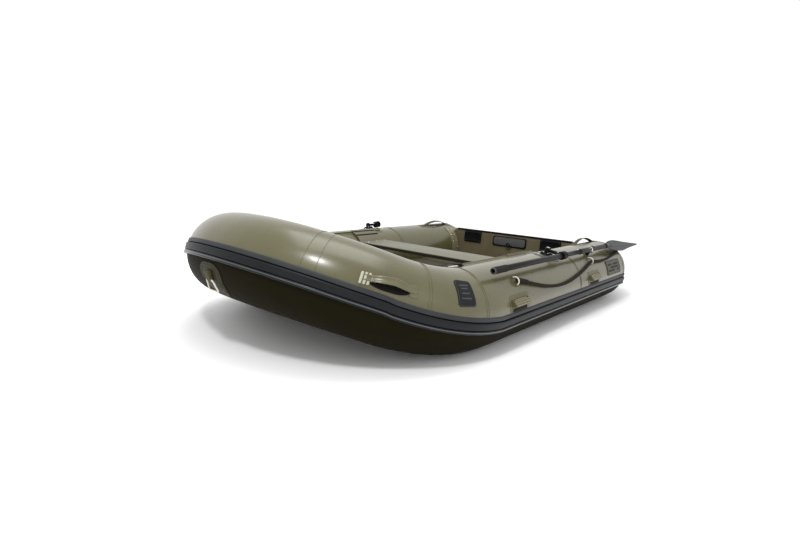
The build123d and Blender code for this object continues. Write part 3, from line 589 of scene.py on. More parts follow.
    def slice(self, axis: int, step: float) -> "Piece":
        """Cut the piece across an axis at even steps, so that it can bend."""
        co = [v.co[axis] for v in self.obj.data.vertices]
        low, high = min(co), max(co)
        count = max(int(math.ceil((high - low) / step)), 1)
        normal = tuple(float(i == axis) for i in range(3))
        cuts = []
        for k in range(1, count):
            at = tuple((low + (high - low) * k / count) * n for n in normal)
            cuts.append(lambda at=at: (
                bpy.ops.mesh.select_all(action="SELECT"),
                bpy.ops.mesh.bisect(plane_co=at, plane_no=normal)))
        return self.edit(None, *cuts)

    def modify(self, kind: str, **settings: object) -> "Piece":
        """Add a modifier and apply it."""
        self.active()
        added = self.obj.modifiers.new(kind.title(), kind)
        for key, value in settings.items():
            setattr(added, key, value)
        bpy.ops.object.modifier_apply(modifier=added.name)
        return self

    def bevel(self, width: float, segments: int = 2, angle: float = 40) -> "Piece":
        """Soften the sharp edges."""
        return self.modify("BEVEL", width=width, segments=segments, limit_method="ANGLE",
                           angle_limit=math.radians(angle))

    def thicken(self, thickness: float, offset: float = 1.0) -> "Piece":
        """Give a sheet its thickness."""
        return self.modify("SOLIDIFY", thickness=thickness, offset=offset)

    def weld(self, distance: float = 0.00002) -> "Piece":
        """Merge doubles and turn every face outwards."""
        return self.edit(None, lambda: bpy.ops.mesh.remove_doubles(threshold=distance), face_out)

    def close(self, fill: bool = True) -> "Piece":
        """Weld a sheet, fill its open rims where asked, and turn it outwards."""
        rims = (open_edges, lambda: bpy.ops.mesh.fill_holes(sides=0)) if fill else ()
        return self.edit(None, lambda: bpy.ops.mesh.remove_doubles(threshold=SHEET_WELD), *rims, face_out)

    def smooth(self, angle: float = 35) -> "Piece":
        """Shade smooth except over sharp edges."""
        self.active()
        bpy.ops.object.shade_smooth_by_angle(angle=math.radians(angle))
        return self

    # ---- placing
    def points(self) -> np.ndarray:
        """The vertices' places, one row each."""
        co = np.empty(len(self.obj.data.vertices) * 3)
        self.obj.data.vertices.foreach_get("co", co)
        return co.reshape(-1, 3)

    def put(self, points: np.ndarray) -> "Piece":
        """Move the vertices to these places."""
        self.obj.data.vertices.foreach_set("co", np.asarray(points, float).ravel())
        self.obj.data.update()
        return self

    def move(self, x: float, y: float, z: float) -> "Piece":
        """Shift the piece on the bench."""
        self.obj.data.transform(Matrix.Translation((x, y, z)))
        return self

    def map_cloth(self) -> "Piece":
        """Write the UV map from X and Y, in metres, as the cloth is cut."""
        mesh = self.obj.data
        layer = mesh.uv_layers.active or mesh.uv_layers.new(name="cloth")
        corner = np.empty(len(mesh.loops), int)
        mesh.loops.foreach_get("vertex_index", corner)
        layer.data.foreach_set("uv", self.points()[corner][:, :2].ravel())
        return self

    def wrap(self, station: float, angle: float = 0.0, turn: float = 0.0) -> "Piece":
        """Lay the flat piece on the hull.

        Args:
            station: Where its origin goes along the tube.
            angle: Where its origin goes round the tube, in degrees.
            turn: How far it is turned on the skin first, in degrees.

        Returns:
            The piece itself.
        """
        if turn:
            self.obj.data.transform(Matrix.Rotation(math.radians(turn), 4, "Z"))
        self.map_cloth()
        p = self.points()
        self.put(FORM.lay(station + p[:, 0], FORM.degrees(angle) + p[:, 1], p[:, 2]))
        self.obj.data.flip_normals()
        return self

    def seat(self, frame: Matrix) -> "Piece":
        """Put a rigid piece in a frame."""
        self.map_cloth()
        self.obj.data.transform(frame)
        return self

    def join(self, *others: "Piece") -> "Piece":
        """Join other pieces into this one."""
        self.clear()
        for other in others:
            other.obj.select_set(True)
        self.obj.select_set(True)
        bpy.context.view_layer.objects.active = self.obj
        bpy.ops.object.join()
        return self

    def mirror(self) -> "Piece":
        """Move the piece to the other side of the boat, as its mirror image."""
        self.obj.data.transform(Matrix.Diagonal((1, -1, 1, 1)))
        self.obj.data.flip_normals()
        return self

    def twin(self, name: str) -> "Piece":
        """Copy the piece and mirror the copy to the other side of the boat."""
        self.clear()
        return self.copy(name).mirror()

    def copy(self, name: str) -> "Piece":
        """Copy the piece with its own mesh."""
        copy = self.obj.copy()
        copy.data = self.obj.data.copy()
        bpy.context.scene.collection.objects.link(copy)
        bpy.context.view_layer.objects.active = copy
        return Piece(name)

    def paint(self, finish: Finish) -> "Piece":
        """Give every face one finish."""
        self.obj.data.materials.clear()
        self.obj.data.materials.append(finish.material())
        return self

    def dress(self, finish: Finish, angle: float = 35) -> "Piece":
        """Give every face one finish and shade it smooth."""
        return self.paint(finish).smooth(angle)

    def paint_where(self, finish: Finish, test: Test) -> "Piece":
        """Give the faces that pass a test a further finish."""
        self.obj.data.materials.append(finish.material())
        index = len(self.obj.data.materials) - 1
        for face in self.obj.data.polygons:
            if test(face.center, face.normal):
                face.material_index = index
        return self

    def fix(self, slot: str, *nodes: str) -> "Piece":
        """Fasten the piece to the hull."""
        return self.fit("hull", slot, *nodes)

    def fit(self, body: str, slot: str, *nodes: str) -> "Piece":
        """Fasten the piece to a body and hide the CAD nodes it stands for."""
        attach(self.obj, body)
        if nodes:
            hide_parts(*nodes)
        log.info("%s: %d faces", self.obj.name, len(self.obj.data.polygons))
        return self


def net(name: str, places: np.ndarray, round_x: bool = False, round_y: bool = False) -> Piece:
    """Lay a sheet of faces over a table of places on the skin.

    Args:
        name: The piece's name.
        places: Rows by columns by (station, arc, height).
        round_x: The last row repeats the first.
        round_y: The last column repeats the first.

    Returns:
        The sheet, welded, with its open ends closed.
    """
    rows, columns = places.shape[:2]
    sheet = Piece.grid(name, rows - 1, columns - 1)
    flat = places.transpose(1, 0, 2).reshape(-1, 3)
    sheet.put(flat).map_cloth()
    sheet.put(FORM.lay(flat[:, 0], flat[:, 1], flat[:, 2]))
    return sheet.close(not (round_x and round_y))


def sweep(name: str, stations: np.ndarray, section: Callable[[float], list[tuple[float, float]]]) -> Piece:
    """Sweep a closed section of (arc, height) points along stations of the hull."""
    table = []
    for s in stations:
        loop = section(float(s))
        table.append([(s, arc, height) for arc, height in loop + loop[:1]])
    return net(name, np.array(table), round_y=True)


def round_band(name: str, station: float, width: float, thickness: float,
               start: float = 0.0, end: float = 360.0, base: float = 0.0) -> Piece:
    """A band of cloth round the tube between two angles, with soft edges."""
    soft = min(0.0012, width / 6)
    half = width / 2
    low, foot, high = base - 0.0006, base + 0.0002, base + thickness
    loop = [(-half, low), (-half, foot), (-half + soft, high), (half - soft, high), (half, foot), (half, low),
            (-half, low)]
    whole = end - start >= 359.9
    steps = max(int((end - start) / 3), 8)
    table = [[(station + x, FORM.degrees(start + (end - start) * k / steps), h) for x, h in loop]
             for k in range(steps + 1)]
    return net(name, np.array(table), round_x=whole, round_y=True)


# ------------------------------------------------------------------ sub-assemblies
@dataclass
class HullSkin:
    """The inflated tubes, their cones and their seam tapes."""

    pitch: float = 0.014             # spacing of the skin's rings of faces
    tip_at: float = 0.442            # where the cones are cut, from their base
    round_faces: int = 100
    seams: tuple[tuple[float, float], ...] = ((0.105, 0.012), (0.390, 0.012), (0.825, 0.050))
    side_seams: tuple[tuple[float, float], ...] = ((-0.002, 0.030), (0.780, 0.012))
    ridge: float = 0.0030            # width and thickness of the ridges along a seam's edges
    ridge_t: float = 0.0011
    pucker: float = 0.0011
    seam_angle: float = 205.0        # where the cloth's edges meet, under the floor

    def all_seams(self) -> list[tuple[float, float]]:
        """Station and width of every seam, port and starboard."""
        port = [*self.side_seams, *((FORM.bend_start + s, wide) for s, wide in self.seams)]
        return port + [(FORM.length - s, wide) for s, wide in port]

    def relief(self, station: np.ndarray, arc: np.ndarray) -> np.ndarray:
        """Slight fullness between seams and small puckers beside them."""
        angle = arc / FORM.tube_r
        lift = np.zeros_like(station)
        for k, (seam, wide) in enumerate(self.all_seams()):
            away = np.maximum(np.abs(station - seam) - wide / 2, 0)
            near = np.exp(-(away / 0.055) ** 2)
            ripple = np.sin(angle * (13 + k % 3) + k * 1.7) * np.sin(angle * 3.1 + k)
            lift += self.pucker * near * (0.45 * ripple - 0.55)
        return lift

    def build(self) -> None:
        """Model the skin, its seam tapes and the cones' end caps."""
        cone = np.linspace(-self.tip_at, 0, 40, endpoint=False)
        body = np.linspace(0, FORM.length, int(FORM.length / self.pitch))
        stations = np.concatenate([cone, body, FORM.length - cone[::-1]])
        start = FORM.degrees(self.seam_angle)
        arcs = np.linspace(start - 2 * math.pi * FORM.tube_r, start, self.round_faces + 1)
        s, a = np.meshgrid(stations, arcs, indexing="ij")
        h = self.relief(s, a)
        h[:, -1] = h[:, 0]
        skin = net("hull_skin", np.stack([s, a, h], -1), round_y=True)
        skin.dress(Finishes.HULL, 50)
        # The skin below the strake gets the underside's painted shade.
        skin.paint_where(Finishes.UNDERSIDE_SHADE, lambda c, n: self.below_strake(c))
        skin.fix("hull_fabric", "bow_tube", *(
            f"{side}_{part}" for side, _ in SIDES
            for part in ("side_tube", "shoulder_tube", "bow_quarter_tube", "stern_cone")))
        tapes = []
        for k, (seam, wide) in enumerate(self.all_seams()):
            lift = Strakes.lift(seam)
            for side in (-1, 1):
                tapes.append(round_band(f"seam_{k}_{side}", seam + side * wide / 2, self.ridge, self.ridge_t,
                                        lift - 2, 200, -0.0002))
        # The seam ridges carry a slight painted highlight.
        merge("seam_tapes", tapes).dress(Finishes.TAPE, 50).fix("hull_fabric")
        self.caps()

    def below_strake(self, centre: Vector) -> bool:
        """Whether a face of the skin is outboard of and below the strake, where the underside's painted shade goes."""
        points = FORM.trace
        k = int(np.argmin(((points - np.array(centre)) ** 2).sum(1)))
        s = float(FORM.stations[k])
        origin = Vector(points[k])
        along = Vector(FORM.along[k])
        outboard = Vector((-along.y, along.x, 0)).normalized()
        up = along.cross(outboard)
        away = Vector(centre) - origin
        angle = math.degrees(math.atan2(away.dot(up), away.dot(outboard)))
        return -150 < angle < -10 + Strakes.lift(s)

    def caps(self) -> None:
        """Model the moulded caps on the cones' tips."""
        share = self.tip_at / FORM.cone_length
        tip = FORM.tube_r * (1 - FORM.cone_taper * share ** FORM.cone_blunt)
        cap = Piece.turned("port_cone_cap", [
            (-0.012, tip + 0.0015), (0.000, tip + 0.0015), (0.003, tip - 0.002), (0.0055, tip * 0.72),
            (0.0045, tip * 0.66), (0.0068, tip * 0.35), (0.0072, tip * 0.08)], 64)
        cap.weld().smooth(40)
        at = (STERN_X - self.tip_at, SIDE_Y, AXIS_Z + FORM.cone_rise * share ** 2)
        cap.seat(Matrix.Translation(at) @ Matrix.Rotation(math.radians(-90), 4, "Y")).paint(Finishes.HULL)
        cap.twin("starboard_cone_cap").fix("hull_fabric")
        cap.fix("hull_fabric")


@dataclass
class Strakes:
    """The rubbing strake: a lip, a band and a bead, with grooves between them."""

    pitch: float = 0.016
    climb: float = 34.0              # degrees it would climb to the nose
    ease: float = 7.0                # degrees it falls short of that by
    ease_from: float = 0.6           # share of the way where it starts to fall short

    @classmethod
    def lift(cls, station: float) -> float:
        """Degrees that the strake has climbed at a station."""
        s = min(station, FORM.length - station)
        share = max(s - FORM.bend_start, 0) / (FORM.nose - FORM.bend_start)
        eased = max(share - cls.ease_from, 0) / (1 - cls.ease_from)
        return cls.climb * share - cls.ease * eased ** 2

    def section(self, station: float, parts: Outline) -> list[tuple[float, float]]:
        """A section's points, as arcs and heights in metres, lifted for a station."""
        up = self.lift(station)
        return [(FORM.degrees(angle + up), height * MM) for angle, height in parts]

    def build(self) -> None:
        """Model the strake's strips, its grooves painted as shade, and a thin strip on the bead painted as its
        highlight.
        """
        stations = np.linspace(0, FORM.length, int(FORM.length / self.pitch))
        lip = [(0, 0.1), (-0.15, 3.0), (-0.6, 4.6), (-1.6, 5.4), (-4.6, 5.4), (-5.5, 4.9), (-5.9, 3.4), (-6.0, 0.1)]
        groove = [(-5.9, 0.2), (-5.9, 0.9), (-7.3, 0.9), (-7.3, 0.2)]
        band = [(-7.15, 0.2), (-7.15, 8.8), (-7.5, 10.3), (-9.2, 11.0), (-14.6, 11.0), (-15.8, 10.8),
                (-16.2, 9.4), (-16.3, 0.2)]
        seam = [(-16.2, 0.2), (-16.2, 7.0), (-16.9, 7.0), (-16.9, 0.2)]
        bead = [(-16.8, 0.2), (-16.85, 8.6)]
        bead += [(-19.3 + 2.5 * math.cos(a), 8.6 + 7.2 * math.sin(a)) for a in np.linspace(0.25, math.pi - 0.1, 16)]
        bead += [(-21.9, 6.0), (-22.0, 0.2)]
        shine = [(-17.9, 14.0), (-17.9, 15.1), (-18.3, 15.8), (-18.9, 15.95), (-19.2, 15.8), (-19.2, 15.0)]
        # The groove and seam strips are painted near black as shade; the shine strip is a painted highlight on the
        # bead.
        for name, shape, finish in (("strake_lip", lip, Finishes.LIP), ("strake_groove", groove, Finishes.GROOVE),
                                    ("strake_band", band, Finishes.BAND), ("strake_seam", seam, Finishes.GROOVE),
                                    ("strake_bead", bead, Finishes.BEAD), ("strake_shine", shine, Finishes.SHINE)):
            strip = sweep(name, stations, lambda s, shape=shape: self.section(s, shape))
            strip.dress(finish, 58)
            nodes = [f"{side}_{part}" for side, _ in SIDES for part in ("side_strake", "bow_strake")]
            strip.fix("strake_rubber", *(nodes if name == "strake_band" else ()))


@dataclass
class GrabLine:
    """A twisted line along each side, held by rings."""

    radius: float = 0.0095
    lay_length: float = 0.055        # along one full turn of the strands
    splice: float = 0.100            # the doubled length at its fore end
    knot_share: float = 0.592        # share of its length where the knot is
    sides: int = 18
    route: tuple[tuple[float, float, float], ...] = (
        (0.400, 41.0, 0.020), (0.335, 37.5, 0.014), (0.240, 29.5, 0.0115), (0.110, 21.5, 0.011),
        (-0.020, 17.5, 0.011), (-0.150, 18.0, 0.011), (-0.270, 22.0, 0.011), (-0.390, 28.0, 0.011),
        (-0.490, 34.0, 0.012), (-0.572, 40.0, 0.015), (-0.660, 37.0, 0.012), (-0.770, 36.0, 0.011),
        (-0.880, 38.0, 0.011), (-0.990, 41.5, 0.011), (-1.080, 45.5, 0.0115), (-1.150, 50.5, 0.012),
        (-1.210, 58.0, 0.0135), (-1.256, 68.0, 0.017),
    )

    def points(self) -> np.ndarray:
        """The route's points."""
        table = np.array(self.route)
        return FORM.lay(table[:, 0] - STERN_X, np.radians(table[:, 1]) * FORM.tube_r, table[:, 2])

    def path(self) -> np.ndarray:
        """Points read from the route's smooth line."""
        line = smooth_line("grab_route", self.points(), 14)
        bpy.context.view_layer.update()
        mesh = bpy.data.meshes.new_from_object(line)
        read = np.array([v.co for v in mesh.vertices])
        bpy.data.objects.remove(line)
        bpy.data.meshes.remove(mesh)
        return read

    def build(self) -> None:
        """Model the line's three strands along its path, port and starboard."""
        read = self.path()
        gaps = np.linalg.norm(np.diff(read, axis=0), axis=1)
        run = np.concatenate([[0], np.cumsum(gaps)])
        length = float(run[-1])
        count = int(length / 0.004)
        at = np.linspace(0, length, count + 1)
        centre = np.stack([np.interp(at, run, read[:, k]) for k in range(3)], -1)
        along = np.gradient(centre, axis=0)
        along /= np.linalg.norm(along, axis=1)[:, None]
        across = np.cross(along, [0, 0, 1.0])
        across /= np.linalg.norm(across, axis=1)[:, None]
        upward = np.cross(across, along)
        turn = np.linspace(0, 2 * math.pi, self.sides + 1)
        line = Piece.grid("port_grab_rope", count, self.sides)
        a, t = np.meshgrid(at, turn, indexing="ij")
        lobes = 1 - 0.16 * np.abs(np.cos(1.5 * (t - 2 * math.pi * a / self.lay_length)))
        knot = length * self.knot_share
        swell = 0.32 / (1 + np.exp(np.minimum((a - self.splice) / 0.002, 500)))
        swell = swell + 0.30 * np.exp(-((a - knot) / 0.016) ** 2) + 0.30 * np.exp(-((length - a) / 0.018) ** 2)
        r = self.radius * lobes * (1 + swell)
        side, rise = (r * np.cos(t))[..., None], (r * np.sin(t))[..., None]
        body = centre[:, None] + side * across[:, None] + rise * upward[:, None]
        line.put(np.stack([a, t * self.radius, 0 * a], -1).transpose(1, 0, 2).reshape(-1, 3)).map_cloth()
        line.put(body.transpose(1, 0, 2).reshape(-1, 3))
        line.close().dress(Finishes.ROPE, 60)
        other = line.twin("starboard_grab_rope")
        for side, sign, piece in (("port", 1, line), ("starboard", -1, other)):
            piece.fix("rope", f"{side}_grab_line")


# ------------------------------------------------------------------ shared makers
def pair(piece: Piece, slot: str, *parts: str, bodies: Sequence[str] = ("hull", "hull")) -> None:
    """Mirror a port piece to starboard and fasten both."""
    other = piece.twin(piece.obj.name.replace("port_", "starboard_"))
    for side, item, body in zip(("port", "starboard"), (piece, other), bodies):
        item.fit(body, slot, *(f"{side}_{part}" for part in parts))


def merge(name: str, pieces: Sequence[Piece]) -> Piece:
    """Join pieces into the first of them, under one name."""
    pieces[0].join(*pieces[1:])
    pieces[0].obj.name = name
    return pieces[0]


def frame_at(origin: Sequence[float], x_dir: Sequence[float], z_dir: Sequence[float]) -> Matrix:
    """A frame from its origin, its X and its Z."""
    z = Vector(z_dir).normalized()
    x = Vector(x_dir)
    x = (x - z * x.dot(z)).normalized()
    frame = Matrix((x, z.cross(x), z)).transposed().to_4x4()
    frame.translation = Vector(origin)
    return frame


def round_outline(length: float, width: float, corner: float, step: int = 6) -> list[tuple[float, float]]:
    """The corners of a rounded rectangle, anticlockwise."""
    points = []
    for k, (sx, sy) in enumerate(((1, 1), (-1, 1), (-1, -1), (1, -1))):
        for i in range(step + 1):
            a = math.radians(90 * k + 90 * i / step)
            points.append((sx * (length / 2 - corner) + corner * math.cos(a),
                           sy * (width / 2 - corner) + corner * math.sin(a)))
    return points


def slab(name: str, length: float, width: float, corner: float, thickness: float, edge: float) -> Piece:
    """A flat plate with rounded corners and a softened top edge."""
    return Piece.plate(name, round_outline(length, width, corner), thickness, edge=edge)


def piping(name: str, outline: Outline, station: float, angle: float,
           radius: float, height: float) -> Piece:
    """A thin raised cord that follows an outline on the skin."""
    dense = []
    for (xa, ya), (xb, yb) in zip(outline, list(outline[1:]) + [outline[0]]):
        count = max(int(math.hypot(xb - xa, yb - ya) / 0.008), 1)
        dense += [(xa + (xb - xa) * k / count, ya + (yb - ya) * k / count) for k in range(count)]
    flat = np.array(dense)
    places = FORM.lay(station + flat[:, 0], FORM.degrees(angle) + flat[:, 1], np.full(len(flat), height))
    return Piece.wire(name, places, radius, closed=True)


def patch(name: str, outline: Outline, thickness: float, station: float, angle: float,
          finish: Finish, edge: float = 0.0, lift: float = 0.0, turn: float = 0.0, step: float = 0.012) -> Piece:
    """A plate cut to an outline and laid on the skin."""
    piece = Piece.plate(name, outline, thickness, edge=edge)
    piece.slice(0, step * 1.5).slice(1, step).move(0, 0, lift).wrap(station, angle, turn)
    return piece.dress(finish)


def around(radius: float, angles: Iterable[float]) -> list[tuple[float, float]]:
    """Points on a circle at some angles, in radians."""
    return [(radius * math.cos(a), radius * math.sin(a)) for a in angles]


def disc(radius: float) -> list[tuple[float, float]]:
    """The corners of a round outline."""
    return around(radius, (2 * math.pi * k / DISC_SIDES for k in range(DISC_SIDES)))


def bolts(name: str, frames: Sequence[Matrix], radius: float, height: float, finish: Finish,
          washer: float = 1.5) -> Piece:
    """Domed screws with a round recess and a washer, one in each frame."""
    head = Piece.turned(name, [(0, radius * washer), (height * 0.25, radius * washer), (height * 0.3, radius),
                               (height * 0.6, radius * 0.95), (height * 0.9, radius * 0.7), (height, radius * 0.35),
                               (height * 0.7, radius * 0.25)], 20)
    made = [head.copy(f"{name}_{k}").seat(frame) for k, frame in enumerate(frames[1:])]
    head.seat(frames[0])
    if made:
        head.join(*made)
    return head.dress(finish)


# ------------------------------------------------------------------ floor and bottom
@dataclass
class Floor:
    """The inflated deck with its foam panels, and the bottom cloth with its keel."""

    top: float = 0.180
    low: float = 0.110
    panel_t: float = 0.0035
    ribs: tuple[tuple[float, float, float, float], ...] = (
        (-1.092, 0.640, 0.030, 0.014), (0.588, 0.640, 0.030, 0.008), (0.838, 0.610, 0.048, 0.010),
        (1.038, 0.500, 0.120, 0.060), (1.198, 0.360, 0.215, 0.150), (1.299, 0.170, 0.262, 0.255),
    )

    def build(self) -> None:
        """Model the deck and the bottom."""
        side = [(-0.997, 0.518), (0.568, 0.518), (0.640, 0.512), (0.718, 0.496), (1.010, 0.160), (1.040, 0.080),
                (1.055, 0.0)]
        outline = [(x, -y) for x, y in side] + [(x, y) for x, y in reversed(side[:-1])]
        deck = Piece.plate("floor_deck_body", outline, self.top - self.panel_t - self.low, edge=0.014)
        deck.move(0, 0, self.low).dress(Finishes.DECK_EDGE, 40).fix("deck_foam", "floor_deck")
        panels = []
        for k, x in enumerate((-0.735, -0.240, 0.255)):
            for m, y in enumerate((-0.332, 0.0, 0.332)):
                panels.append(self.panel(f"deck_panel_{k}{m}", round_outline(0.480, 0.318, 0.03), (x, y)))
        bow = [(0.490, -0.480), (0.640, -0.470), (0.960, -0.120), (0.995, 0.0), (0.960, 0.120), (0.640, 0.470),
               (0.490, 0.480)]
        panels.append(self.panel("deck_panel_bow", bow, (0, 0)))
        merge("deck_panel_00", panels).dress(Finishes.DECK).fix("deck_foam")
        self.bottom()

    def panel(self, name: str, outline: Outline, at: tuple[float, float]) -> Piece:
        """One foam panel, laid on the deck."""
        piece = Piece.plate(name, outline, self.panel_t, edge=0.0012)
        return piece.move(at[0], at[1], self.top - self.panel_t)

    def bottom(self) -> None:
        """Model the bottom cloth, drawn to a V over an inflated keel."""
        table = np.array(self.ribs)
        x = np.linspace(table[0, 0], table[-1, 0], 90)
        window = np.hanning(11)
        window /= window.sum()
        shape = []
        for k in (1, 2, 3):
            plain = np.interp(x, table[:, 0], table[:, k])
            eased = np.convolve(np.pad(plain, 5, mode="reflect", reflect_type="odd"), window, mode="valid")
            shape.append(eased)
        half, edge, keel = shape
        columns = 61
        share = np.linspace(-1, 1, columns)
        sheet = Piece.grid("bottom_cloth", len(x) - 1, columns - 1)
        flat = []
        for j in range(columns):
            t = abs(share[j])
            for i in range(len(x)):
                ridge = 0.007 * math.exp(-(share[j] * half[i] / 0.045) ** 2)
                z = keel[i] + (edge[i] - keel[i]) * t ** 1.25 - ridge + 0.004
                flat.append((x[i], share[j] * half[i], max(z, 0.0012)))
        sheet.put(np.array(flat)).map_cloth().thicken(0.0045, 1.0).weld()
        # The bottom cloth is painted all over in the underside's painted shade.
        sheet.dress(Finishes.UNDERSIDE_SHADE, 50).fix("hull_fabric", "bottom_skin")


# ------------------------------------------------------------------ transom
@dataclass
class Transom:
    """The board between the tubes, its trim, pads and bonded flanges."""

    x: float = -1.102
    top: float = 0.394
    half: float = 0.560
    rake: float = math.radians(5)
    thickness: float = 0.027
    tube_gap: float = 0.2157

    def place(self, across: float = 0.0, up: float = 0.0, out: float = 0.0, aft: bool = False) -> Matrix:
        """A frame on the board's inner face, or on its outer face looking aft."""
        origin = Vector((self.x, 0, self.top))
        x, y = Vector((0, 1, 0)), Vector((-math.sin(self.rake), 0, math.cos(self.rake)))
        z = x.cross(y)
        at = origin + x * across + y * up + z * out
        return frame_at(at, -x if aft else x, -z if aft else z)

    def outline(self) -> list[tuple[float, float]]:
        """The board's outline, cut round to clear the tubes."""
        side = [(0.470, -0.346)]
        for z in np.linspace(0.106, 0.3672, 22):
            across = SIDE_Y - math.sqrt(self.tube_gap ** 2 - (z - AXIS_Z) ** 2)
            side.append((across, -(self.top - z) / math.cos(self.rake)))
        side.append((self.half, 0))
        return [(0, -0.366)] + side + [(-a, b) for a, b in reversed(side)]

    def build(self) -> None:
        """Model the board and everything fastened to it."""
        board = Piece.plate("transom_board_body", self.outline(), self.thickness)
        board.bevel(0.0025, 2, 60).seat(self.place(out=-self.thickness))
        board.dress(Finishes.TRANSOM).fix("transom_ply", "transom_board")
        section = [(0.0003, -0.011), (0.0040, -0.011), (0.0040, 0.0025), (0.0025, 0.0040), (-0.0295, 0.0040),
                   (-0.0310, 0.0025), (-0.0310, -0.011), (-0.0273, -0.011), (-0.0273, 0.0003), (0.0003, 0.0003)]
        trim = Piece.plate("transom_trim_strip", section, 1.080).weld()
        place = self.place(-0.540)
        trim.seat(Matrix.Translation(place.translation) @ place.to_3x3().to_4x4() @ Matrix(
            ((0, 0, 1, 0), (0, 1, 0, 0), (1, 0, 0, 0), (0, 0, 0, 1))))
        trim.weld().dress(Finishes.BLACK).fix("black_plastic", "transom_trim")
        pads = []
        for k, x in enumerate((-0.370, 0.370)):
            pad = slab(f"side_pad_{k}", 0.176, 0.096, 0.008, 0.008, 0.0015)
            pad.inset(on_top, 0.010).inset(lambda c, n: on_top(c, n) and abs(c.x) < 0.07, 0.002, -0.0012)
            pads.append(pad.seat(self.place(x, -0.060, 0.0003)))
        merge("side_pad_0", pads).dress(Finishes.BLACK).fix("black_plastic", "transom_side_pads")
        spots = [self.place(s * (0.370 + dx), -0.060 + dy, 0.0078)
                 for s in (-1, 1) for dx in (-0.074, 0.074) for dy in (-0.036, 0.036)]
        bolts("side_pad_bolts", spots, 0.0048, 0.004, Finishes.BLACK_GLOSS).fix("black_plastic")
        self.drain()
        backing = slab("motor_pad_backing", 0.320, 0.088, 0.018, 0.0035, 0.001)
        backing.seat(self.place(0, -0.068, 0.0003)).dress(Finishes.BLACK).fix("grey_plastic")
        pad = slab("motor_pad_grey", 0.296, 0.066, 0.020, 0.0045, 0.0015)
        pad.seat(self.place(0, -0.066, 0.0037)).dress(Finishes.GREY)
        pad.fix("grey_plastic", "motor_pad_inner")
        outer = slab("motor_pad_outer_plate", 0.350, 0.210, 0.018, 0.008, 0.0015)
        outer.inset(lambda c, n: on_top(c, n) and abs(c.x) < 0.1, 0.014).inset(
            lambda c, n: on_top(c, n) and abs(c.x) < 0.02 and abs(c.y) < 0.02, 0.002, -0.002)
        outer.seat(self.place(0, -0.136, -self.thickness - 0.0003, aft=True)).dress(Finishes.BLACK)
        outer.fix("black_plastic", "motor_pad_outer")
        corners = [self.place(sx * 0.163, -0.136 + sy * 0.093, -self.thickness - 0.0081, aft=True)
                   for sx in (-1, 1) for sy in (-1, 1)]
        bolts("motor_pad_bolts", corners, 0.005, 0.004, Finishes.STEEL).fix("bright_steel")
        self.flanges()

    def drain(self) -> None:
        """Model the drain's knob and its pull ring."""
        loop = [(26 * MM + 3.8 * MM * math.cos(a), 3.2 * MM + 3.1 * MM * math.sin(a))
                for a in np.linspace(0, 2 * math.pi, 12, endpoint=False)]
        ring = Piece.hollow("drain_ring", loop)
        ring.seat(self.place(0, -0.100, 0.0086)).dress(Finishes.BLACK_GLOSS, 50).fix("black_plastic")
        knob = Piece.turned("drain_knob", [(0, 0.0139), (0.005, 0.0139), (0.0065, 0.0132), (0.0068, 0.0105),
                                           (0.0110, 0.0100), (0.0118, 0.0090), (0.0112, 0.0060), (0.0095, 0.005)])
        knob.seat(self.place(0, -0.092, 0.0086)).dress(Finishes.BLACK_GLOSS)
        knob.fix("black_plastic", "drain_plug")

    def flanges(self) -> None:
        """Model the bonded bands on the tubes and their bolts."""
        at = FORM.beside(self.x)
        band = round_band("port_flange_band", at + 0.025, 0.149, 0.0048, 118.5, 227.5)
        band.dress(Finishes.FLANGE, 40)
        pair(band, "patch_fabric", "transom_flange")
        spots = [FORM.seat(at + dx, angle, 0.0047) for dx in (0.030, 0.080) for angle in (128, 144, 160, 176, 192, 208)]
        heads = bolts("port_flange_bolts", spots, 0.0042, 0.0035, Finishes.STEEL)
        pair(heads, "bright_steel")


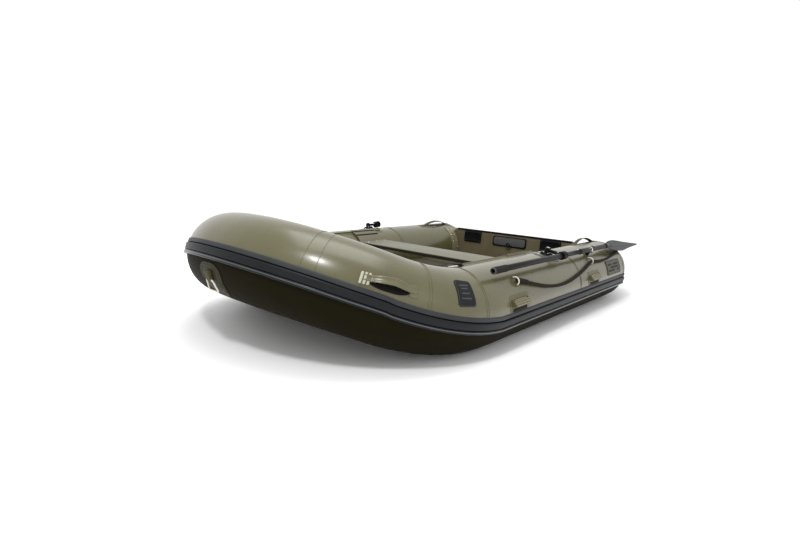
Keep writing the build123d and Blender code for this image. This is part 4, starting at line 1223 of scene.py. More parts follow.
# ------------------------------------------------------------------ bench
@dataclass
class Bench:
    """The sliding board, its brackets and the rails they hook over."""

    x: float = -0.007
    depth: float = 0.250
    half: float = 0.545
    top: float = 0.358
    thickness: float = 0.024
    rail_angle: float = 108.0
    rail_fore: float = 0.558
    rail_aft: float = -0.212

    def spot(self, angle: float, height: float) -> tuple[float, float]:
        """A point in the port tube's section, as (Y, Z)."""
        r, a = FORM.tube_r + height, math.radians(angle)
        return SIDE_Y + r * math.cos(a), AXIS_Z + r * math.sin(a)

    def hook(self, width: float, height: float) -> tuple[float, float]:
        """A point beside the rail's ridge, as (Y, Z): across it and above the skin."""
        a = math.radians(self.rail_angle)
        y, z = self.spot(self.rail_angle, height)
        return y - width * math.sin(a), z + width * math.cos(a)

    def build(self) -> None:
        """Model the board, the brackets and the rails."""
        board = slab("bench_board_body", self.depth, 2 * self.half, 0.016, self.thickness, 0.0048)
        board.move(self.x, 0, self.top - self.thickness).paint(Finishes.BENCH)
        # Faces that do not look up get the bench's painted shade.
        board.paint_where(Finishes.BENCH_EDGE, lambda c, n: n.z < 0.25)
        board.smooth().fit("bench", "bench_ply", "bench_board")
        screws = [frame_at((self.x + dx, s * 0.505, self.top - 0.0002), (1, 0, 0), (0, 0, 1))
                  for s in (-1, 1) for dx in (-0.085, 0, 0.085)]
        bolts("bench_screws", screws, 0.0045, 0.003, Finishes.STEEL).fit("bench", "bright_steel")
        self.brackets()
        self.rails()

    def brackets(self) -> None:
        """Model the brackets: a hook over the ridge, a leg down the tube and a shelf under the board."""
        low = self.top - self.thickness - 0.004
        loop = [self.hook(-0.011, 0.005), self.hook(-0.011, 0.0185), self.hook(-0.0105, 0.019),
                self.hook(0.0105, 0.019), self.hook(0.011, 0.0185)]
        loop += [self.spot(a, 0.013) for a in np.linspace(111.2, 145.0, 16)]
        loop += [(0.540, low + 0.004), (0.479, low + 0.004), (0.479, low), (0.5465, low)]
        loop += [self.spot(a, 0.009) for a in np.linspace(145.6, 111.2, 16)]
        loop += [self.hook(0.007, 0.009), self.hook(0.007, 0.015), self.hook(-0.007, 0.015), self.hook(-0.007, 0.005)]
        plate = Piece.plate("port_bracket_sheet", loop, 0.226)
        turn = Matrix(((0, 0, 1, self.x - 0.113), (1, 0, 0, 0), (0, 1, 0, 0), (0, 0, 0, 1)))
        plate.seat(turn).weld().bevel(0.0006, 1, 60)
        plate.paint(Finishes.OLIVE_METAL)
        plate.paint_where(Finishes.BLACK, lambda c, n: c.z > 0.395 and n.y < -0.5)
        plate.smooth()
        pair(plate, "black_tube", "bench_bracket", bodies=("bench", "bench"))

    def rails(self) -> None:
        """Model the rails and the blocks that close them."""
        start, end = FORM.beside(self.rail_aft), FORM.beside(self.rail_fore)
        shape = [(-0.0218, 0.0002), (-0.0218, 0.0020), (-0.0200, 0.0038), (-0.0095, 0.0040), (-0.0068, 0.0050),
                 (-0.0060, 0.0070), (-0.0058, 0.0125), (-0.0044, 0.0139), (0.0044, 0.0139), (0.0058, 0.0125),
                 (0.0060, 0.0070), (0.0068, 0.0050), (0.0095, 0.0040), (0.0200, 0.0038), (0.0218, 0.0020),
                 (0.0218, 0.0002)]
        middle = FORM.degrees(self.rail_angle)

        def section(station: float) -> list[tuple[float, float]]:
            away = min(station - start, end - station)
            ridge = min(max((away - 0.015) / 0.004, 0), 1)
            low = 0.0038 if away > 0.001 else 0.002
            return [(middle + arc, h if h <= 0.004 else low + (h - low) * ridge) for arc, h in shape]

        stations = np.concatenate([[start, start + 0.0012, start + 0.015, start + 0.019],
                                   np.linspace(start + 0.06, end - 0.06, 20),
                                   [end - 0.019, end - 0.015, end - 0.0012, end]])
        rail = sweep("port_rail_strip", stations, section)
        rail.paint(Finishes.OLIVE_MOULDED)
        # The rail's thin edges get a painted highlight.
        rail.paint_where(Finishes.EDGE, lambda c, n: self.at_edge(c))
        rail.smooth(30)
        pair(rail, "moulded_rubber", "seat_rail")
        block = slab("port_rail_stop", 0.046, 0.040, 0.007, 0.0155, 0.003)
        block.inset(lambda c, n: n.z > 0.95, 0.006).inset(lambda c, n: n.z > 0.95 and abs(c.x) < 0.012, 0.001, -0.0015)
        block.slice(1, 0.008).wrap(FORM.beside(self.rail_fore + 0.032), self.rail_angle)
        block.dress(Finishes.BLACK)
        pair(block, "black_plastic")

    def at_edge(self, centre: Vector) -> bool:
        """Whether a face of the rail is on its thin bonded edges, which are painted as highlights."""
        away = abs(off_side_tube(centre)[1] - self.rail_angle)
        return abs(away * math.radians(1) * FORM.tube_r - 0.0205) < 0.0016


# ------------------------------------------------------------------ the oar and its locks
OAR_OUT = 0.260              # the stowed shaft's axis, from the tube's axis
OAR_ANGLE = 55.5             # where it lies round the tube, in degrees
PIN_ANGLE = 78.0             # where the rowlocks' pins stand round the tube


@dataclass
class Oar:
    """The stowed oar with its rowlock, and the rowlock that stands empty to starboard."""

    y: float = SIDE_Y + OAR_OUT * math.cos(math.radians(OAR_ANGLE))
    z: float = AXIS_Z + OAR_OUT * math.sin(math.radians(OAR_ANGLE))
    pin_x: float = -0.178
    pin_angle: float = PIN_ANGLE
    reach: float = OAR_OUT * math.sin(math.radians(PIN_ANGLE - OAR_ANGLE))
    height: float = OAR_OUT * math.cos(math.radians(PIN_ANGLE - OAR_ANGLE)) - FORM.tube_r
    clip_x: float = -0.612
    blade_root: float = -0.858
    droop: float = math.radians(3.4)
    blade_angle: float = math.radians(50)

    def aft(self, x: float) -> Matrix:
        """A frame on the shaft's axis whose Z points aft."""
        return frame_at((x, self.y, self.z), (0, 1, 0), (-1, 0, 0))

    def build(self) -> None:
        """Model the oar, the locks and the clip."""
        self.shaft()
        self.blade()
        self.lock()
        self.clip()

    def shaft(self) -> None:
        """Model the two-part tube, its collars and its grip."""
        steps = [(0, 0.0155), (0.006, 0.0160), (0.690, 0.0160), (0.696, 0.0140), (0.894, 0.0140), (0.900, 0.0168),
                 (0.904, 0.0170), (1.106, 0.0170), (1.110, 0.0150), (1.330, 0.0150), (1.336, 0.0120)]
        tube = Piece.turned("oar_tube", steps, 36)
        tube.seat(self.aft(0.478)).dress(Finishes.TUBE).fit("port_oar", "black_tube", "port_oar_shaft")
        grip_steps = [(0.030, 0.0105), (0.0, 0.0118), (0.0008, 0.0155), (0.004, 0.0176), (0.008, 0.0180)]
        for k in range(6):
            z = 0.014 + k * 0.0155
            grip_steps += [(z, 0.0180), (z + 0.002, 0.0168), (z + 0.0045, 0.0168), (z + 0.0065, 0.0180)]
        grip_steps += [(0.112, 0.0180), (0.1165, 0.0172), (0.118, 0.0162)]
        grip = Piece.turned("oar_grip_foam", grip_steps, 36)
        grip.seat(self.aft(0.596)).paint(Finishes.FOAM)
        grip.paint_where(Finishes.GREY, lambda c, n: c.x > 0.5935 and math.hypot(c.y - self.y, c.z - self.z) > 0.0125)
        grip.smooth().fit("port_oar", "foam_grip", "port_oar_grip")
        ferrules = [Piece.hollow(f"oar_ferrule_{k}", [(0.0138, 0), (0.0177, 0.0006), (0.0180, 0.004), (0.0138, 0.0045)])
                    .seat(self.aft(x)) for k, x in enumerate((0.4785, -0.2165, -0.4195))]
        merge("oar_ferrules", ferrules).dress(Finishes.FOAM).fit("port_oar", "black_tube")
        stop = Piece.hollow("oar_stop_ring", [
            (0.0165, 0), (0.0205, 0.0012), (0.0210, 0.0035), (0.0205, 0.0058), (0.0165, 0.007)])
        stop.seat(self.aft(-0.5860)).dress(Finishes.STEEL).fit("port_oar", "bright_steel")
        button = bolts("oar_button", [frame_at((-0.395, self.y, self.z + 0.0150), (1, 0, 0), (0, 0, 1))], 0.004, 0.004,
                       Finishes.STEEL, 1.1)
        button.fit("port_oar", "bright_steel")

    def blade(self) -> None:
        """Model the leaf with its rim and spine, and the socket for the shaft."""
        outline = np.array([(0.002, 0.016), (0.045, 0.024), (0.095, 0.036), (0.150, 0.0450), (0.215, 0.0515),
                            (0.260, 0.0515), (0.320, 0.0460), (0.400, 0.0350), (0.480, 0.0260), (0.560, 0.0180),
                            (0.640, 0.0110), (0.690, 0.0065), (0.711, 0.0015)])
        nx, ny = 110, 28
        x = np.linspace(0.002, 0.711, nx + 1)
        half = np.interp(x, outline[:, 0], outline[:, 1])
        half[1:-1] = (half[:-2] + half[1:-1] + half[2:]) / 3
        sheet = Piece.grid("oar_blade_leaf", nx, ny)
        flat = []
        for t in np.linspace(-1, 1, ny + 1):
            for i in range(nx + 1):
                spine = 0.0028 * math.exp(-(t * half[i] / 0.012) ** 2) * max(0, 1 - x[i] / 0.62)
                rim = 0.0011 * math.exp(-((abs(t) - 0.95) * half[i] / 0.0028) ** 2)
                flat.append((x[i], t * half[i], 0.0012 + spine + rim))
        sheet.put(np.array(flat))
        under = sheet.copy("under")
        table = under.points()
        table[:, 2] *= -1
        under.put(table)
        under.obj.data.flip_normals()
        sheet.join(under)
        sheet.edit(None, open_edges, bpy.ops.mesh.bridge_edge_loops)
        along = Vector((-math.cos(self.droop), 0, -math.sin(self.droop)))
        up = Vector((0, math.cos(self.blade_angle), math.sin(self.blade_angle)))
        face = frame_at((self.blade_root, self.y, self.z), along, up - along * up.dot(along))
        sheet.seat(face).weld().dress(Finishes.BLADE, 40)
        sheet.fit("port_oar", "blade_plastic", "port_oar_blade")
        socket = Piece.turned("oar_blade_socket", [
            (0, 0.0172), (0.0015, 0.0180), (0.010, 0.0180), (0.012, 0.0170), (0.060, 0.0120), (0.110, 0.0080),
            (0.148, 0.0040), (0.150, 0.002)])
        socket.seat(self.aft(self.blade_root)).dress(Finishes.BLADE).fit("port_oar", "blade_plastic")

    def lock(self) -> None:
        """Model the bases, pins and rowlocks of both sides."""
        station = FORM.beside(self.pin_x)
        base = Piece.turned("port_lock_base", [
            (0, 0.0838), (0.0016, 0.0838), (0.0028, 0.0825), (0.0022, 0.0800), (0.0022, 0.0740), (0.0029, 0.0720),
            (0.0029, 0.0600), (0.0029, 0.0500), (0.0029, 0.0400), (0.0029, 0.0300)], 64)
        base.wrap(station, self.pin_angle).dress(Finishes.DISC)
        pair(base, "black_plastic", "oarlock_base")
        foot = FORM.seat(station, self.pin_angle)
        boss = Piece.turned("port_lock_boss", [
            (-0.004, 0.0395), (0.002, 0.0392), (0.0045, 0.0375), (0.008, 0.0350), (0.0135, 0.0330),
            (0.0155, 0.0315), (0.0160, 0.0290), (0.0150, 0.0270), (0.0150, 0.0185), (0.0158, 0.0175),
            (0.0160, 0.0080), (0.0430, 0.0079)], 56)
        boss.seat(foot).dress(Finishes.BLACK)
        pair(boss, "black_plastic")
        spots = [foot @ Matrix.Rotation(math.radians(45 + 90 * k), 4, "Z") @ Matrix.Translation((0.0228, 0, 0.0150))
                 for k in range(4)]
        spots += [FORM.seat(station + x, self.pin_angle + math.degrees(y / FORM.tube_r), 0.0029)
                  for x, y in around(0.060, (0.4, 1.97, 3.54, 5.11))]
        pair(bolts("port_lock_screws", spots, 0.0035, 0.003, Finishes.STEEL), "bright_steel")
        cap = Piece.turned("port_lock_cap", [
            (0.0422, 0.0080), (0.0422, 0.0125), (0.0432, 0.0130), (0.0450, 0.0128), (0.0465, 0.0110), (0.0469, 0.0070),
            (0.0455, 0.0060), (0.0445, 0.0055)], 36)
        cap.seat(foot).dress(Finishes.BLACK)
        outward = foot.to_3x3() @ Vector((0, 0, 1))
        cap.paint_where(Finishes.STEEL, lambda c, n: (c - foot.translation).dot(outward) > 0.0460)
        pair(cap, "black_plastic")
        hub = Piece.hollow("port_rowlock_hub", [
            (0.00805, 0.0172), (0.0155, 0.0172), (0.0168, 0.0185), (0.0170, 0.0300), (0.0168, 0.0385), (0.0155, 0.0398),
            (0.00805, 0.0398)], 48)
        hub.seat(foot)
        arm = Piece.block("arm", (0.024, self.reach - 0.030, 0.0165), (0, self.reach / 2 - 0.001, self.height))
        arm.slice(1, 0.02).bevel(0.004, 3, 40)
        arm.seat(foot)
        rib = Piece.block("rib", (0.006, self.reach - 0.040, 0.0178), (0, self.reach / 2 - 0.001, self.height))
        rib.bevel(0.0012, 2, 40).seat(foot)
        hub.join(arm, rib).dress(Finishes.BLACK)
        loop = [(0.0162, 0.0002), (0.0230, 0.0002), (0.0246, 0.0015), (0.0249, 0.006), (0.0232, 0.0075),
                (0.0232, 0.0125), (0.0246, 0.0140), (0.0246, 0.0320), (0.0232, 0.0335), (0.0232, 0.0385),
                (0.0249, 0.0400), (0.0246, 0.0445), (0.0230, 0.0458), (0.0162, 0.0458)]
        collar = Piece.hollow("port_rowlock_collar", loop, 48)
        collar.seat(self.aft(self.pin_x + 0.023)).dress(Finishes.BLACK)
        hub.join(collar)
        spot = foot @ Matrix.Translation((0, self.reach - 0.034, self.height + 0.0085))
        bolt = bolts("port_rowlock_bolt", [spot], 0.0042, 0.0035, Finishes.STEEL)
        turn = foot @ Matrix.Rotation(math.radians(90), 4, "Z") @ foot.inverted()
        for piece, slot, nodes in ((hub, "black_plastic", ("rowlock",)), (bolt, "bright_steel", ())):
            empty = piece.copy("starboard_" + piece.obj.name[5:])
            empty.obj.data.transform(turn)
            empty.mirror()
            piece.fit("port_oar", slot, *(f"port_{node}" for node in nodes))
            empty.fit("starboard_rowlock", slot, *(f"starboard_{node}" for node in nodes))

    def clip(self) -> None:
        """Model the U clip that the shaft rests in."""
        outer, inner, jaw = 0.0219, 0.0182, 0.012
        arc = [math.radians(90 + 180 * k / 20) for k in range(21)]
        loop = [(jaw, outer), *around(outer, arc), (jaw, -outer), (jaw + 0.001, -outer + 0.0018), (jaw, -inner),
                *around(inner, reversed(arc)), (jaw, inner), (jaw + 0.001, outer - 0.0018)]
        a = math.radians(self.pin_angle)
        jaws = Piece.plate("oar_clip_jaws", loop, 0.022)
        jaws.weld().bevel(0.0006, 2, 60)
        jaws.seat(frame_at((self.clip_x + 0.011, self.y, self.z), (0, math.sin(a), -math.cos(a)), (-1, 0, 0)))
        station = FORM.beside(self.clip_x)
        foot = FORM.seat(station, OAR_ANGLE)
        post = Piece.block("post", (0.021, 0.021, 0.0290), (0, 0, 0.0140)).bevel(0.002, 2).seat(foot)
        jaws.join(post).dress(Finishes.BLACK).fix("black_plastic", "port_oar_clip")
        pad = patch("oar_clip_foot", disc(0.0298), 0.0028, station, OAR_ANGLE, Finishes.PATCH, 0.0008)
        pad.fix("patch_fabric")


# ------------------------------------------------------------------ handles
@dataclass
class Handles:
    """Straps, scoops and the black backings under the straps, which also serve as painted shade."""

    scoops: tuple[float, ...] = (0.413, -0.562)
    rib_lips: tuple[tuple[float, float], ...] = ((8.8, 16.4), (15.8, 14.55), (22.3, 12.0), (27.4, 9.5))
    shell: tuple[tuple[float, float], ...] = (
        (0.2, 0.7), (0.2, 17.4), (4.0, 17.3), (8.0, 16.8), (9.6, 16.0), (9.6, 15.6), (15.0, 14.9), (16.6, 14.2),
        (16.6, 13.7), (21.6, 12.4), (23.0, 11.6), (23.0, 11.1), (26.8, 10.0), (28.0, 9.0), (27.6, 8.1),
    )

    def build(self) -> None:
        """Model the bow handles, the inner straps and the scoops."""
        station = FORM.bend_start + 0.553
        grip = self.strap("port_bow_handle_strap", station, 29.5, 0.146, 0.034, 0.028, 0.008, 0.028)
        grip.dress(Finishes.OLIVE_MOULDED)
        # The strap's upper edge is painted black as the shade of the gap behind the arch.
        grip.paint_where(Finishes.BLACK, lambda c, n: self.shaded_upper_edge(n, station, 32.0))
        pair(grip, "moulded_rubber", "bow_handle")
        oval = [(0.078 * math.cos(a), 0.025 * math.sin(a)) for a in np.linspace(0, 2 * math.pi, 40, endpoint=False)]
        # A black patch under the arch: partly a backing, partly painted shade of the gap beneath the strap.
        pair(patch("port_bow_handle_backing", oval, 0.0022, station, 26.2, Finishes.BLACK, 0.0008), "black_plastic")
        plates = []
        for k, (x, wide, ribs) in enumerate(((0.092, 0.036, 3), (-0.090, 0.034, 0))):
            plates.append(patch(f"port_bow_handle_plate_{k}", round_outline(wide, 0.058, 0.010), 0.0042,
                                station + x, 28.5, Finishes.OLIVE_MOULDED, 0.0012))
            for m in range(ribs):
                dx = (m - (ribs - 1) / 2) * 0.0125
                # The ribs are painted pale as highlights.
                plates.append(patch(f"port_rib_{k}{m}", round_outline(0.0085, 0.052, 0.0040, 3), 0.0046,
                                    station + x + dx, 28.5, Finishes.RIB, 0.0018, 0.004))
        pair(merge("port_bow_handle_plate_0", plates).smooth(), "moulded_rubber")
        station = FORM.beside(-0.940)
        inner = self.strap("port_inner_strap_webbing", station, 101, 0.290, 0.034, 0.045, 0.004, 0.026)
        inner.dress(Finishes.OLIVE_WEB)
        pair(inner, "moulded_rubber", "inner_strap")
        pads = [patch(f"port_inner_pad_{k}", round_outline(0.085, 0.060, 0.012), 0.0025, station + x, 101,
                      Finishes.PATCH, 0.0008) for k, x in enumerate((-0.168, 0.168))]
        pair(merge("port_inner_pad_0", pads), "patch_fabric")
        oblong = round_outline(0.240, 0.046, 0.020)
        # A black patch under the arch: partly a backing, partly painted shade of the gap beneath the strap.
        pair(patch("port_inner_backing", oblong, 0.0018, station, 101, Finishes.BLACK, 0.0006), "black_plastic")
        for k, x in enumerate(self.scoops):
            self.scoop(k, FORM.beside(x))

    def shaded_upper_edge(self, normal: Vector, station: float, angle: float) -> bool:
        """Whether a face is on the strap's upper edge, which is painted black as shade."""
        frame = FORM.seat(station, angle)
        up = -(frame.to_3x3() @ Vector((0, 1, 0)))
        return normal.dot(up) > 0.9

    def strap(self, name: str, station: float, angle: float, span: float, rise: float, tab: float,
              thickness: float, width: float) -> Piece:
        """A strap that arches over the skin between two flat ends."""
        half, end = span / 2, span / 2 + tab
        rows = np.unique(np.concatenate([[-end, -end + 0.003, -half - 0.001, half + 0.001, end - 0.003, end],
                                         np.linspace(-half, half, 33)]))
        table = []
        for x in rows:
            if abs(x) <= half:
                bow = 1 - (x / half) ** 2
                low, high = 0.002 + (rise - 0.002) * bow, thickness + 0.004 + (rise - 0.004) * bow
            else:
                low, high = 0.0002, thickness + 0.004 * (end - abs(x)) / tab
            wide = width / 2 * (0.90 if abs(x) > end - 0.001 else 1.0)
            soft, dip = min(0.0025, thickness / 3), min(0.0012, thickness / 5)
            loop = [(-wide, low), (-wide, high - soft), (-wide + soft, high), (-wide + 2.2 * soft, high),
                    (-wide + 3 * soft, high - dip), (wide - 3 * soft, high - dip), (wide - 2.2 * soft, high),
                    (wide - soft, high), (wide, high - soft), (wide, low), (-wide, low)]
            table.append([(station + x, FORM.degrees(angle) + y, h) for y, h in loop])
        return net(name, np.array(table), round_y=True)

    def scoop(self, index: int, station: float) -> None:
        """A ribbed hood over a hand pocket that opens below."""
        pocket = [(23.5, 8.1), (17.0, 11.0), (9.0, 13.8), (2.4, 14.8)]
        closed = [(23.5, 8.1), (17.0, 8.1), (9.0, 8.1), (2.4, 8.1)]
        table = []
        for x, inner, scale in ((-0.075, closed, 0.90), (-0.0735, closed, 1), (-0.0702, closed, 1), (-0.070, pocket, 1),
                                *((float(v), pocket, 1) for v in np.linspace(-0.05, 0.05, 6)),
                                (0.070, pocket, 1), (0.0702, closed, 1), (0.0735, closed, 1), (0.075, closed, 0.90)):
            loop = [*self.shell, *inner, (2.4, 0.7), self.shell[0]]
            table.append([(station + x, FORM.degrees(angle), max(h * scale, 0.2) * MM) for h, angle in loop])
        hood = net(f"port_scoop_{index}", np.array(table), round_y=True)
        hood.paint(Finishes.HOOD)
        # The ribs' lips get a painted highlight.
        hood.paint_where(Finishes.EDGE, lambda c, n: self.on_rib(c))
        # The pocket and the plate below it get the painted shade.
        hood.paint_where(Finishes.RECESS, lambda c, n: self.in_pocket(c, n, station))
        hood.smooth()
        pair(hood, "moulded_rubber", *(("scoop_handles",) if index == 0 else ()))
        screws = [FORM.seat(station + s * 0.066, 15.9, 0.0090) for s in (-1, 1)]
        pair(bolts(f"port_scoop_screws_{index}", screws, 0.0032, 0.0025, Finishes.BLACK), "black_plastic")
        oblong = round_outline(0.196, 0.090, 0.024)
        pair(patch(f"port_scoop_pad_{index}", oblong, 0.0010, station, 11.6, Finishes.PATCH, 0.0004), "patch_fabric")

    def on_rib(self, centre: Vector) -> bool:
        """Whether a face is on the rounded lip of one of the hood's ribs, which is painted as a highlight."""
        height, angle = off_side_tube(centre)
        return any(abs(height - h) < 0.8 and abs(angle - a) < 0.5 for h, a in self.rib_lips)

    def in_pocket(self, centre: Vector, normal: Vector, station: float) -> bool:
        """Whether a face of the hood is inside its pocket or on the plate below it, which take the painted shade."""
        height, angle = off_side_tube(centre)
        inward = normal.y * (centre.y - SIDE_Y) + normal.z * (centre.z - AXIS_Z) < 0.02
        within = abs(centre.x - (station + STERN_X)) < 0.0701
        return within and ((inward and height > 2) or (height < 4 and angle < 15))


# ------------------------------------------------------------------ plates
@dataclass
class Plates:
    """The shoulder badges and the plates at the stern, with plain bars only."""

    badge: float = FORM.bend_start + 0.220
    badge_angle: float = 36.5
    stern_x: float = -0.922
    stern_angle: float = 19.5

    def build(self) -> None:
        """Model the badges and the stern plates."""
        shield = [(-0.040, -0.066), (0.036, -0.066), (0.044, -0.058), (0.048, 0.046), (0.044, 0.060), (0.030, 0.067),
                  (-0.034, 0.060), (-0.044, 0.052), (-0.046, -0.056)]
        at = (self.badge, self.badge_angle)
        pair(patch("port_badge_body", shield, 0.0032, *at, Finishes.BADGE, 0.001, step=0.01),
             "badge_plastic", "hull_plates")
        rim = piping("port_badge_rim", [(x * 0.93, y * 0.95) for x, y in shield], *at, 0.0011, 0.0034)
        pair(rim.dress(Finishes.BADGE_RIM, 50), "badge_plastic")
        self.bars("port_badge_bar", *at, ((0.002, 9.5, 0.052), (0.002, 5.0, 0.036), (0.002, -1.5, 0.044),
                                          (0.002, -8.0, 0.052)),
                  (0.007, 0.003), 0.0009, Finishes.BADGE_RIM, 0.0003, 0.0031)
        at = (FORM.beside(self.stern_x), self.stern_angle)
        plate = patch("port_stern_plate", round_outline(0.246, 0.102, 0.012), 0.0030, *at, Finishes.PLATE, 0.001)
        pair(plate, "badge_plastic")
        rim = piping("port_stern_rim", round_outline(0.236, 0.092, 0.010), *at, 0.0014, 0.0032)
        pair(rim.dress(Finishes.BADGE, 50), "badge_plastic")
        self.bars("port_stern_bar", *at, ((-0.052, 5.2, 0.086), (0.058, 5.2, 0.070), (-0.020, -0.4, 0.150),
                                          (0.040, -6.0, 0.106), (-0.078, -6.0, 0.034)),
                  (0.013, 0.004), 0.0010, Finishes.BADGE, 0.0004, 0.0028)

    def bars(self, name: str, station: float, angle: float, rows: Sequence[tuple[float, float, float]],
             shape: tuple[float, float], thickness: float, finish: Finish, edge: float, lift: float) -> None:
        """Model plain raised bars.

        Args:
            name: Each bar's name, before its number.
            station: Where the plate is along the tube.
            angle: Where it is round the tube, in degrees.
            rows: Each bar's distance along, its degrees round and its length.
            shape: The bars' width and corner radius.
            thickness: How far they stand out.
            finish: What they are painted with.
            edge: Radius of their top edge.
            lift: Height of their foot above the skin.
        """
        made = [patch(f"{name}_{k}", round_outline(length, *shape, 3), thickness, station + x, angle + y,
                      finish, edge, lift) for k, (x, y, length) in enumerate(rows)]
        pair(merge(f"{name}s", made), "badge_plastic")


# ------------------------------------------------------------------ rings and the towing eye
@dataclass
class Rings:
    """Rings for the lines, with their patches, and the towing eye."""

    wire: float = 0.0035

    def build(self) -> None:
        """Model the rings and the towing eye."""
        spots = [(FORM.beside(0.400), 41.0, 90, 0.019), (FORM.beside(-0.572), 41.5, 90, 0.019),
                 (FORM.beside(-1.256), 71.0, 60, 0.017)]
        rings, feet = [], []
        rings.append(Piece.ring("port_rail_ring", 0.022, 0.0034).seat(FORM.seat(FORM.beside(0.658), 104.0, 0.0040)))
        feet.append(patch("port_rail_ring_foot", disc(0.016), 0.0014, FORM.beside(0.680), 104.0,
                          Finishes.PATCH, 0.0005))
        for k, (station, angle, turn, inner) in enumerate(spots):
            frame = FORM.seat(station, angle) @ Matrix.Rotation(math.radians(turn), 4, "Z")
            radius = inner + self.wire
            loop = [(-radius, 0, -0.001), (-radius, 0, 0.003)]
            loop += [(-x, 0, 0.005 + z) for x, z in around(radius, np.linspace(0, math.pi, 15))]
            loop += [(radius, 0, 0.003), (radius, 0, -0.001)]
            rings.append(Piece.wire(f"port_ring_{k}", np.array(loop), self.wire).seat(frame))
            feet.append(patch(f"port_ring_foot_{k}", disc(0.030), 0.0022, station, angle, Finishes.PATCH, 0.0008))
            tabs = [Piece.turned(f"port_ring_tab_{k}{m}", [(0, 0.0068), (0.003, 0.0064), (0.0045, 0.0050)], 24)
                    .move(s * radius, 0, 0.0015).seat(frame) for m, s in enumerate((-1, 1))]
            feet += [tab.paint(Finishes.PATCH) for tab in tabs]
        pair(merge("port_rings", rings).dress(Finishes.IVORY, 60), "bright_steel", "line_rings")
        pair(merge("port_ring_feet", feet).smooth(), "patch_fabric")
        self.tow_eye()

    def tow_eye(self) -> None:
        """Model the patch, the webbing and the ring under the bow."""
        nose = FORM.nose
        cloth = patch("tow_patch_cloth", round_outline(0.158, 0.188, 0.058, 10), 0.0026, nose, -25,
                      Finishes.TOW_PATCH, 0.0010)
        cloth.fix("patch_fabric", "tow_patch")
        for k, inset in enumerate((0.004, 0.016)):
            line = piping(f"tow_patch_line_{k}", round_outline(0.158 - 2 * inset, 0.188 - 2 * inset, 0.058 - inset, 10),
                          nose, -25, 0.0011, 0.0028)
            line.dress(Finishes.TOW_LINE, 60).fix("patch_fabric")
        web = slab("tow_webbing_block", 0.035, 0.051, 0.005, 0.0142, 0.0035)
        web.slice(1, 0.008).move(0, 0, 0.0034).wrap(nose, -16).dress(Finishes.OLIVE_WEB)
        web.fix("webbing", "tow_webbing")
        corners = [(0.026, 0), (0.044, 0.058), (-0.044, 0.058), (-0.026, 0)]
        loop = []
        for k, here in enumerate(corners):
            before, after = corners[k - 1], corners[(k + 1) % 4]
            for other, cuts in ((before, (0.012, 0.006)), (after, (0.006, 0.012))):
                dx, dy = other[0] - here[0], other[1] - here[1]
                gap = math.hypot(dx, dy)
                loop += [(here[0] + dx * cut / gap, here[1] + dy * cut / gap, 0) for cut in cuts]
        ring = Piece.wire("tow_ring_wire", np.array(loop), 0.0039, closed=True)
        ring.seat(FORM.seat(nose, -21, 0.012)).dress(Finishes.IVORY, 60).fix("bright_steel", "tow_ring")


# ------------------------------------------------------------------ valves
@dataclass
class Valves:
    """The three air valves inside the tubes."""

    x: float = 0.650
    angle: float = 138

    def build(self) -> None:
        """Model each valve: a flange, a neck and a cap with grips."""
        made = []
        stations = (FORM.beside(self.x), FORM.nose, FORM.length - FORM.beside(self.x))
        for k, station in enumerate(stations):
            flange = Piece.turned(f"valve_{k}", [
                (-0.004, 0.0298), (0.0030, 0.0298), (0.0040, 0.0288), (0.0040, 0.0235), (0.0028, 0.0228),
                (0.0028, 0.0212), (0.0105, 0.0208), (0.0118, 0.0195), (0.0110, 0.0170), (0.0110, 0.0060),
                (0.0116, 0.0050)], 48)
            seat = FORM.seat(station, self.angle)
            made.append(flange.seat(seat))
            for m in range(8):
                grip = Piece.block(f"valve_grip_{k}{m}", (0.0022, 0.0022, 0.0070), (0.0211, 0, 0.0070)).bevel(0.0006, 1)
                made.append(grip.seat(seat @ Matrix.Rotation(math.pi * m / 4, 4, "Z")))
        merge("valve_bodies", made).dress(Finishes.BLACK).fix("black_plastic", "air_valves")


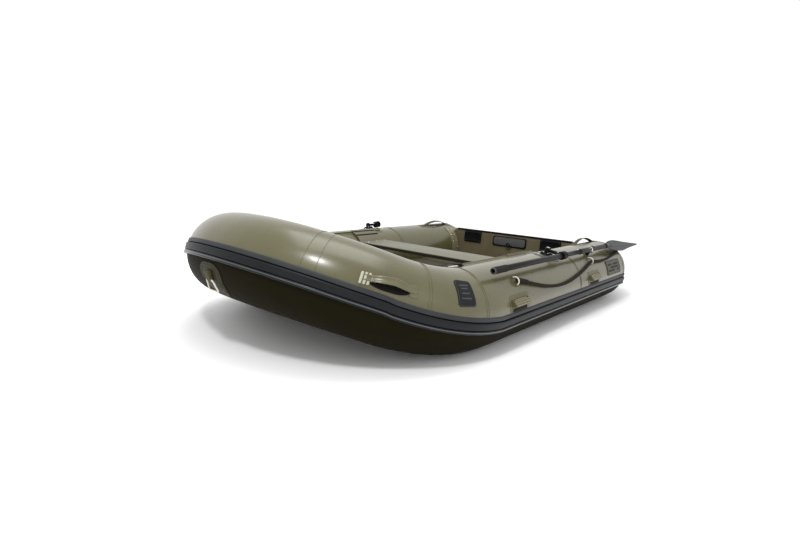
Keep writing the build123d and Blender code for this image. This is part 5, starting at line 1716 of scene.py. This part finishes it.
# ------------------------------------------------------------------ studio
@dataclass
class Studio:
    """A pale floor, soft lights and the camera."""

    eye: tuple[float, float, float] = (2.598, 2.079, 0.862)
    yaw: float = -138.08
    pitch: float = -10.69
    roll: float = 2.20
    lens: float = 22.03

    def build(self) -> None:
        """Set up the floor, the lights and the camera."""
        self.floor()
        self.sky()
        self.lamp("overhead", (0.2, 0.2, 4.2), (0, 0, 0.2), 3.2, 100)
        self.lamp("key", (2.74, 1.28, 2.94), (0.78, 0.51, 0.5), 0.36, 46)
        self.lamp("side", (0.5, 4.6, 2.6), (-0.2, 0.7, 0.3), 2.5, 12)
        bpy.context.scene.view_settings.view_transform = "Standard"
        self.camera()

    def floor(self) -> None:
        """Lay the floor."""
        Piece.clear()
        bpy.ops.mesh.primitive_plane_add(size=60)
        floor = Piece("studio_floor")
        sheet = bpy.data.materials.new("studio_floor")
        sheet.use_nodes = True
        feed(sheet.node_tree, sheet.node_tree.nodes["Principled BSDF"], {
            "Base Color": (0.97, 0.97, 0.97, 1), "Roughness": 0.9, "Specular IOR Level": 0.1})
        floor.obj.data.materials.append(sheet)

    def sky(self) -> None:
        """Light the room evenly."""
        world = bpy.data.worlds.new("studio_world")
        bpy.context.scene.world = world
        world.use_nodes = True
        feed(world.node_tree, world.node_tree.nodes["Background"], {"Color": (1, 1, 1, 1), "Strength": 1.04})

    def camera(self) -> None:
        """Set up the camera."""
        scene = bpy.context.scene
        camera = bpy.data.cameras.new("camera")
        camera.lens = self.lens
        camera.sensor_width = 36
        holder = bpy.data.objects.new("camera", camera)
        scene.collection.objects.link(holder)
        yaw, pitch, roll = (math.radians(a) for a in (self.yaw, self.pitch, self.roll))
        ahead = Vector((math.cos(yaw) * math.cos(pitch), math.sin(yaw) * math.cos(pitch), math.sin(pitch)))
        right = ahead.cross(Vector((0, 0, 1))).normalized()
        up = right.cross(ahead)
        across = right * math.cos(roll) + up * math.sin(roll)
        upward = up * math.cos(roll) - right * math.sin(roll)
        frame = Matrix((across, upward, -ahead)).transposed().to_4x4()
        frame.translation = Vector(self.eye)
        holder.matrix_world = frame
        scene.camera = holder

    def lamp(self, name: str, at: Sequence[float], to: Sequence[float], size: float, power: float) -> None:
        """Hang a square soft light.

        Args:
            name: The light's name.
            at: Where it hangs.
            to: Where it points.
            size: Its side.
            power: Watts.
        """
        light = bpy.data.lights.new(name, "AREA")
        light.shape = "SQUARE"
        light.size = size
        light.energy = power
        holder = bpy.data.objects.new(name, light)
        holder.location = at
        holder.rotation_euler = (Vector(to) - Vector(at)).to_track_quat("-Z", "Y").to_euler()
        bpy.context.scene.collection.objects.link(holder)


def main() -> None:
    """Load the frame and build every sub-assembly."""
    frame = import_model()
    Piece.clear()
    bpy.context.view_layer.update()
    Studio().build()
    GrabLine().build()
    HullSkin().build()
    Strakes().build()
    Floor().build()
    Transom().build()
    Bench().build()
    Oar().build()
    Handles().build()
    Plates().build()
    Rings().build()
    Valves().build()


if __name__ == "__main__":
    logging.basicConfig(level=logging.INFO)
    main()
